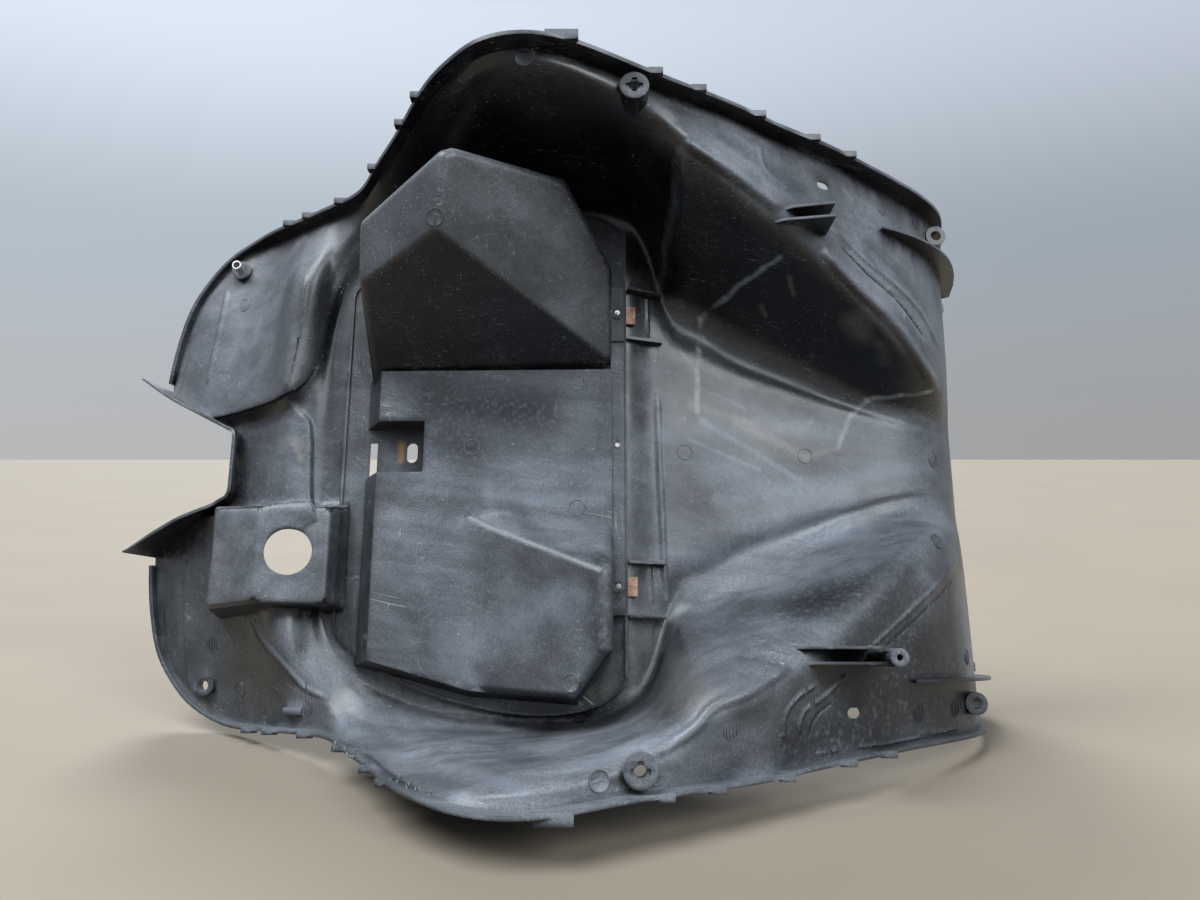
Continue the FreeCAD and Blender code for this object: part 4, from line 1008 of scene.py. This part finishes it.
class LEGSHIELD_OT_hardware(bpy.types.Operator):
    """Dress the clips, screws, peg and sleeve in steel"""
    bl_idname = "leg_shield.hardware"
    bl_label = "Steel hardware"

    def execute(self, context):
        rust = kept_material("rusty_clip", rusty_steel)
        plated = kept_material("plated_screw", plated_steel, 0.8)
        bright = kept_material("sleeve_metal", plated_steel, 0.35)
        for side in ("left", "right"):
            clip = bevel_edges(copy_of_node("hinge_clip_" + side, "clip_plate_" + side), 0.15 * MM)
            finish_piece(clip, rust, "hinge_clip_" + side)
            finish_piece(self.screw(side), plated, "hinge_screw_" + side)
        peg = bevel_edges(copy_of_node("hinge_peg", "peg_rivet"), 0.25 * MM)
        finish_piece(peg, plated, "hinge_peg")
        sleeve = bevel_edges(copy_of_node("fixing_sleeve", "sleeve_tube"), 0.3 * MM)
        finish_piece(sleeve, bright, "fixing_sleeve")
        return {"FINISHED"}

    def screw(self, side):
        """A screw with its thread as sloping rings and a round recess in its head."""
        settings = shield_settings()
        low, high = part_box("hinge_screw_" + side)
        middle_x = (low[0] + high[0]) / 2
        middle_z = (low[2] + high[2]) / 2
        length = high[1] - low[1]
        head_radius = (high[0] - low[0]) / 2
        head_height = 2.2 * MM
        core = 1.25 * MM
        crest = 1.7 * MM
        bpy.ops.object.select_all(action="DESELECT")
        bpy.ops.mesh.primitive_cylinder_add(vertices=24, radius=core, depth=length - head_height,
                                            location=(0.0, 0.0, (length - head_height) / 2))
        screw = settle(bpy.context.active_object)
        bpy.ops.object.mode_set(mode="EDIT")
        select_top(screw, Vector((0.0, 0.0, -1.0)))
        bpy.ops.transform.resize(value=(0.55, 0.55, 1.0))
        pitch = 1.3 * MM
        select_top(screw, Vector((0.0, 0.0, 1.0)))
        extrude_up(0.0)
        bpy.ops.transform.resize(value=(head_radius / core, head_radius / core, 1.0))
        extrude_up(head_height * 0.55)
        extrude_up(head_height * 0.45)
        bpy.ops.transform.resize(value=(0.7, 0.7, 1.0))
        bpy.ops.mesh.inset(thickness=head_radius * 0.35)
        extrude_up(-0.8 * MM)
        bpy.ops.object.mode_set(mode="OBJECT")
        parts = [screw]
        for turn in range(settings.thread_turns):
            height = 1.6 * MM + turn * pitch
            if height > length - head_height - 1.0 * MM:
                break
            bpy.ops.object.select_all(action="DESELECT")
            bpy.ops.mesh.primitive_torus_add(major_segments=24, minor_segments=6,
                                             major_radius=core + 0.1 * MM,
                                             minor_radius=crest - core - 0.1 * MM,
                                             location=(0.0, 0.0, height),
                                             rotation=(math.radians(7.0), 0.0, 0.0))
            ring = bpy.context.active_object
            ring.scale = (1.0, 1.0, 0.55)
            parts.append(settle(ring))
        screw = join_all(parts, "threaded_screw_" + side)
        turn = Matrix.Rotation(math.radians(-90.0), 4, "X")
        screw.data.transform(Matrix.Translation((middle_x, low[1], middle_z)) @ turn)
        activate(screw)
        bpy.ops.object.shade_smooth_by_angle(angle=math.radians(40.0))
        return screw


# Stage

def one_sided(n, shader_output, output):
    """Shows a stage surface from its front only."""
    geometry = n.add("ShaderNodeNewGeometry")
    clear = n.add("ShaderNodeBsdfTransparent")
    mix = n.add("ShaderNodeMixShader")
    n.link(geometry.outputs["Backfacing"], mix.inputs[0])
    n.link(shader_output, mix.inputs[1])
    n.link(clear.outputs[0], mix.inputs[2])
    n.link(mix.outputs[0], output.inputs["Surface"])


def sun_lamp(name, place, target, strength, softness):
    direction = (target - place).normalized()
    bpy.ops.object.light_add(type="SUN", location=place,
                             rotation=direction.to_track_quat("-Z", "Y").to_euler())
    lamp = bpy.context.active_object
    lamp.name = name
    lamp.data.energy = strength
    lamp.data.angle = softness
    lamp.data.color = (0.93, 0.975, 1.0)
    return lamp


class LEGSHIELD_OT_stage(bpy.types.Operator):
    """Add the table, the backdrop, the lamps and the camera"""
    bl_idname = "leg_shield.stage"
    bl_label = "Stage"

    def execute(self, context):
        settings = context.scene.leg_shield_stage
        self.table(context, settings)
        self.world(context, settings)
        target = Vector((0.0, 0.1, 0.05))
        sun_lamp("key_light", target + LIGHT_FROM * 2.0, target, settings.key_strength,
                 settings.key_softness)
        sun_lamp("top_light", target + TOP_LIGHT_FROM * 2.0, target, settings.top_strength,
                 settings.top_softness)
        sun_lamp("back_light", target + BACK_LIGHT_FROM * 2.0, target, settings.back_strength,
                 settings.back_softness)
        self.camera(context)
        return {"FINISHED"}

    def table(self, context, settings):
        reach = 40.0
        bpy.ops.object.select_all(action="DESELECT")
        bpy.ops.mesh.primitive_grid_add(x_subdivisions=2, y_subdivisions=2, size=reach)
        table = context.active_object
        table.name = "table"
        centre = CAMERA_PLACE - VIEW_UP * TABLE_DROP
        turn = Matrix((VIEW_FORWARD, VIEW_RIGHT * -1.0, VIEW_UP)).transposed().to_4x4()
        table.data.transform(Matrix.Translation(centre) @ turn)
        material, n, shader = new_material("table_top")
        place = n.place()
        tone = n.ramp(n.noise(place, 3.0, detail=4.0), 0.3, 0.7)
        pale = settings.table_color[:] + (1.0,)
        deep = tuple(c * 0.95 for c in settings.table_color) + (1.0,)
        seen = n.mix(tone, deep, pale)
        path = n.add("ShaderNodeLightPath")
        bounced = n.math("MULTIPLY", path.outputs["Is Diffuse Ray"], 0.8)
        n.link(n.mix(bounced, seen, (0.06, 0.06, 0.06, 1.0)), shader.inputs["Base Color"])
        shader.inputs["Roughness"].default_value = 0.6
        shader.inputs["Specular IOR Level"].default_value = 0.2
        one_sided(n, shader.outputs[0], material.node_tree.nodes["Material Output"])
        table.data.materials.append(material)

    def world(self, context, settings):
        world = bpy.data.worlds.new("backdrop")
        context.scene.world = world
        world.use_nodes = True
        n = Nodes(world.node_tree)
        background = world.node_tree.nodes["Background"]
        output = world.node_tree.nodes["World Output"]
        coordinates = n.add("ShaderNodeTexCoord")
        seen_from = coordinates.outputs["Generated"]
        rise = n.vector("DOT_PRODUCT", seen_from, tuple(VIEW_UP), output="Value")
        across = n.vector("DOT_PRODUCT", seen_from, tuple(VIEW_RIGHT), output="Value")
        # The wall grows lighter and bluer upwards and dimmer to the right: painted light on the
        # backdrop
        low = settings.wall_low_color[:] + (1.0,)
        middle = settings.wall_middle_color[:] + (1.0,)
        high = settings.wall_high_color[:] + (1.0,)
        seen = n.add("ShaderNodeBackground")
        wall = n.mix(n.ramp(rise, 0.0, 0.22), low, middle)
        wall = n.mix(n.ramp(rise, 0.20, 0.44), wall, high)
        n.link(wall, seen.inputs["Color"])
        n.link(n.ramp(across, -0.55, 0.55, 1.15, 0.86), seen.inputs["Strength"])
        background.inputs["Color"].default_value = (0.93, 0.97, 1.0, 1.0)
        background.inputs["Strength"].default_value = settings.fill_level
        path = n.add("ShaderNodeLightPath")
        shown = n.math("MAXIMUM", path.outputs["Is Camera Ray"], path.outputs["Is Glossy Ray"])
        shown = n.math("MAXIMUM", shown, path.outputs["Is Transmission Ray"])
        mix = n.add("ShaderNodeMixShader")
        n.link(shown, mix.inputs[0])
        n.link(background.outputs[0], mix.inputs[1])
        n.link(seen.outputs[0], mix.inputs[2])
        n.link(mix.outputs[0], output.inputs["Surface"])

    def camera(self, context):
        data = bpy.data.cameras.new("view_camera")
        data.sensor_fit = "HORIZONTAL"
        data.sensor_width = CAMERA_SENSOR_MM
        data.lens = CAMERA_LENS_MM
        data.clip_end = 100.0
        camera = bpy.data.objects.new("view_camera", data)
        context.scene.collection.objects.link(camera)
        turn = Matrix((VIEW_RIGHT, VIEW_UP, -VIEW_FORWARD)).transposed().to_4x4()
        camera.matrix_world = Matrix.Translation(CAMERA_PLACE) @ turn
        context.scene.camera = camera
        context.scene.view_settings.view_transform = "Standard"


STEPS = (LEGSHIELD_OT_shield, LEGSHIELD_OT_tub, LEGSHIELD_OT_ejector_marks,
         LEGSHIELD_OT_torn_edge, LEGSHIELD_OT_hardware, LEGSHIELD_OT_stage)


class LEGSHIELD_PT_panel(bpy.types.Panel):
    """The sidebar panel with every step"""
    bl_label = "Leg Shield"
    bl_idname = "LEGSHIELD_PT_panel"
    bl_space_type = "VIEW_3D"
    bl_region_type = "UI"
    bl_category = "Leg Shield"

    def draw(self, context):
        for name in ShieldSettings.__annotations__:
            self.layout.prop(context.scene.leg_shield_settings, name)
        for name in StageSettings.__annotations__:
            self.layout.prop(context.scene.leg_shield_stage, name)
        for step in STEPS:
            self.layout.operator(step.bl_idname)


CLASSES = (ShieldSettings, StageSettings) + STEPS + (LEGSHIELD_PT_panel,)


def register():
    for cls in CLASSES:
        bpy.utils.register_class(cls)
    bpy.types.Scene.leg_shield_settings = PointerProperty(type=ShieldSettings)
    bpy.types.Scene.leg_shield_stage = PointerProperty(type=StageSettings)


def unregister():
    del bpy.types.Scene.leg_shield_stage
    del bpy.types.Scene.leg_shield_settings
    for cls in reversed(CLASSES):
        bpy.utils.unregister_class(cls)


def main():
    register()
    for step in STEPS:
        group, name = step.bl_idname.split(".")
        getattr(getattr(bpy.ops, group), name)()


if __name__ == "__main__":
    main()
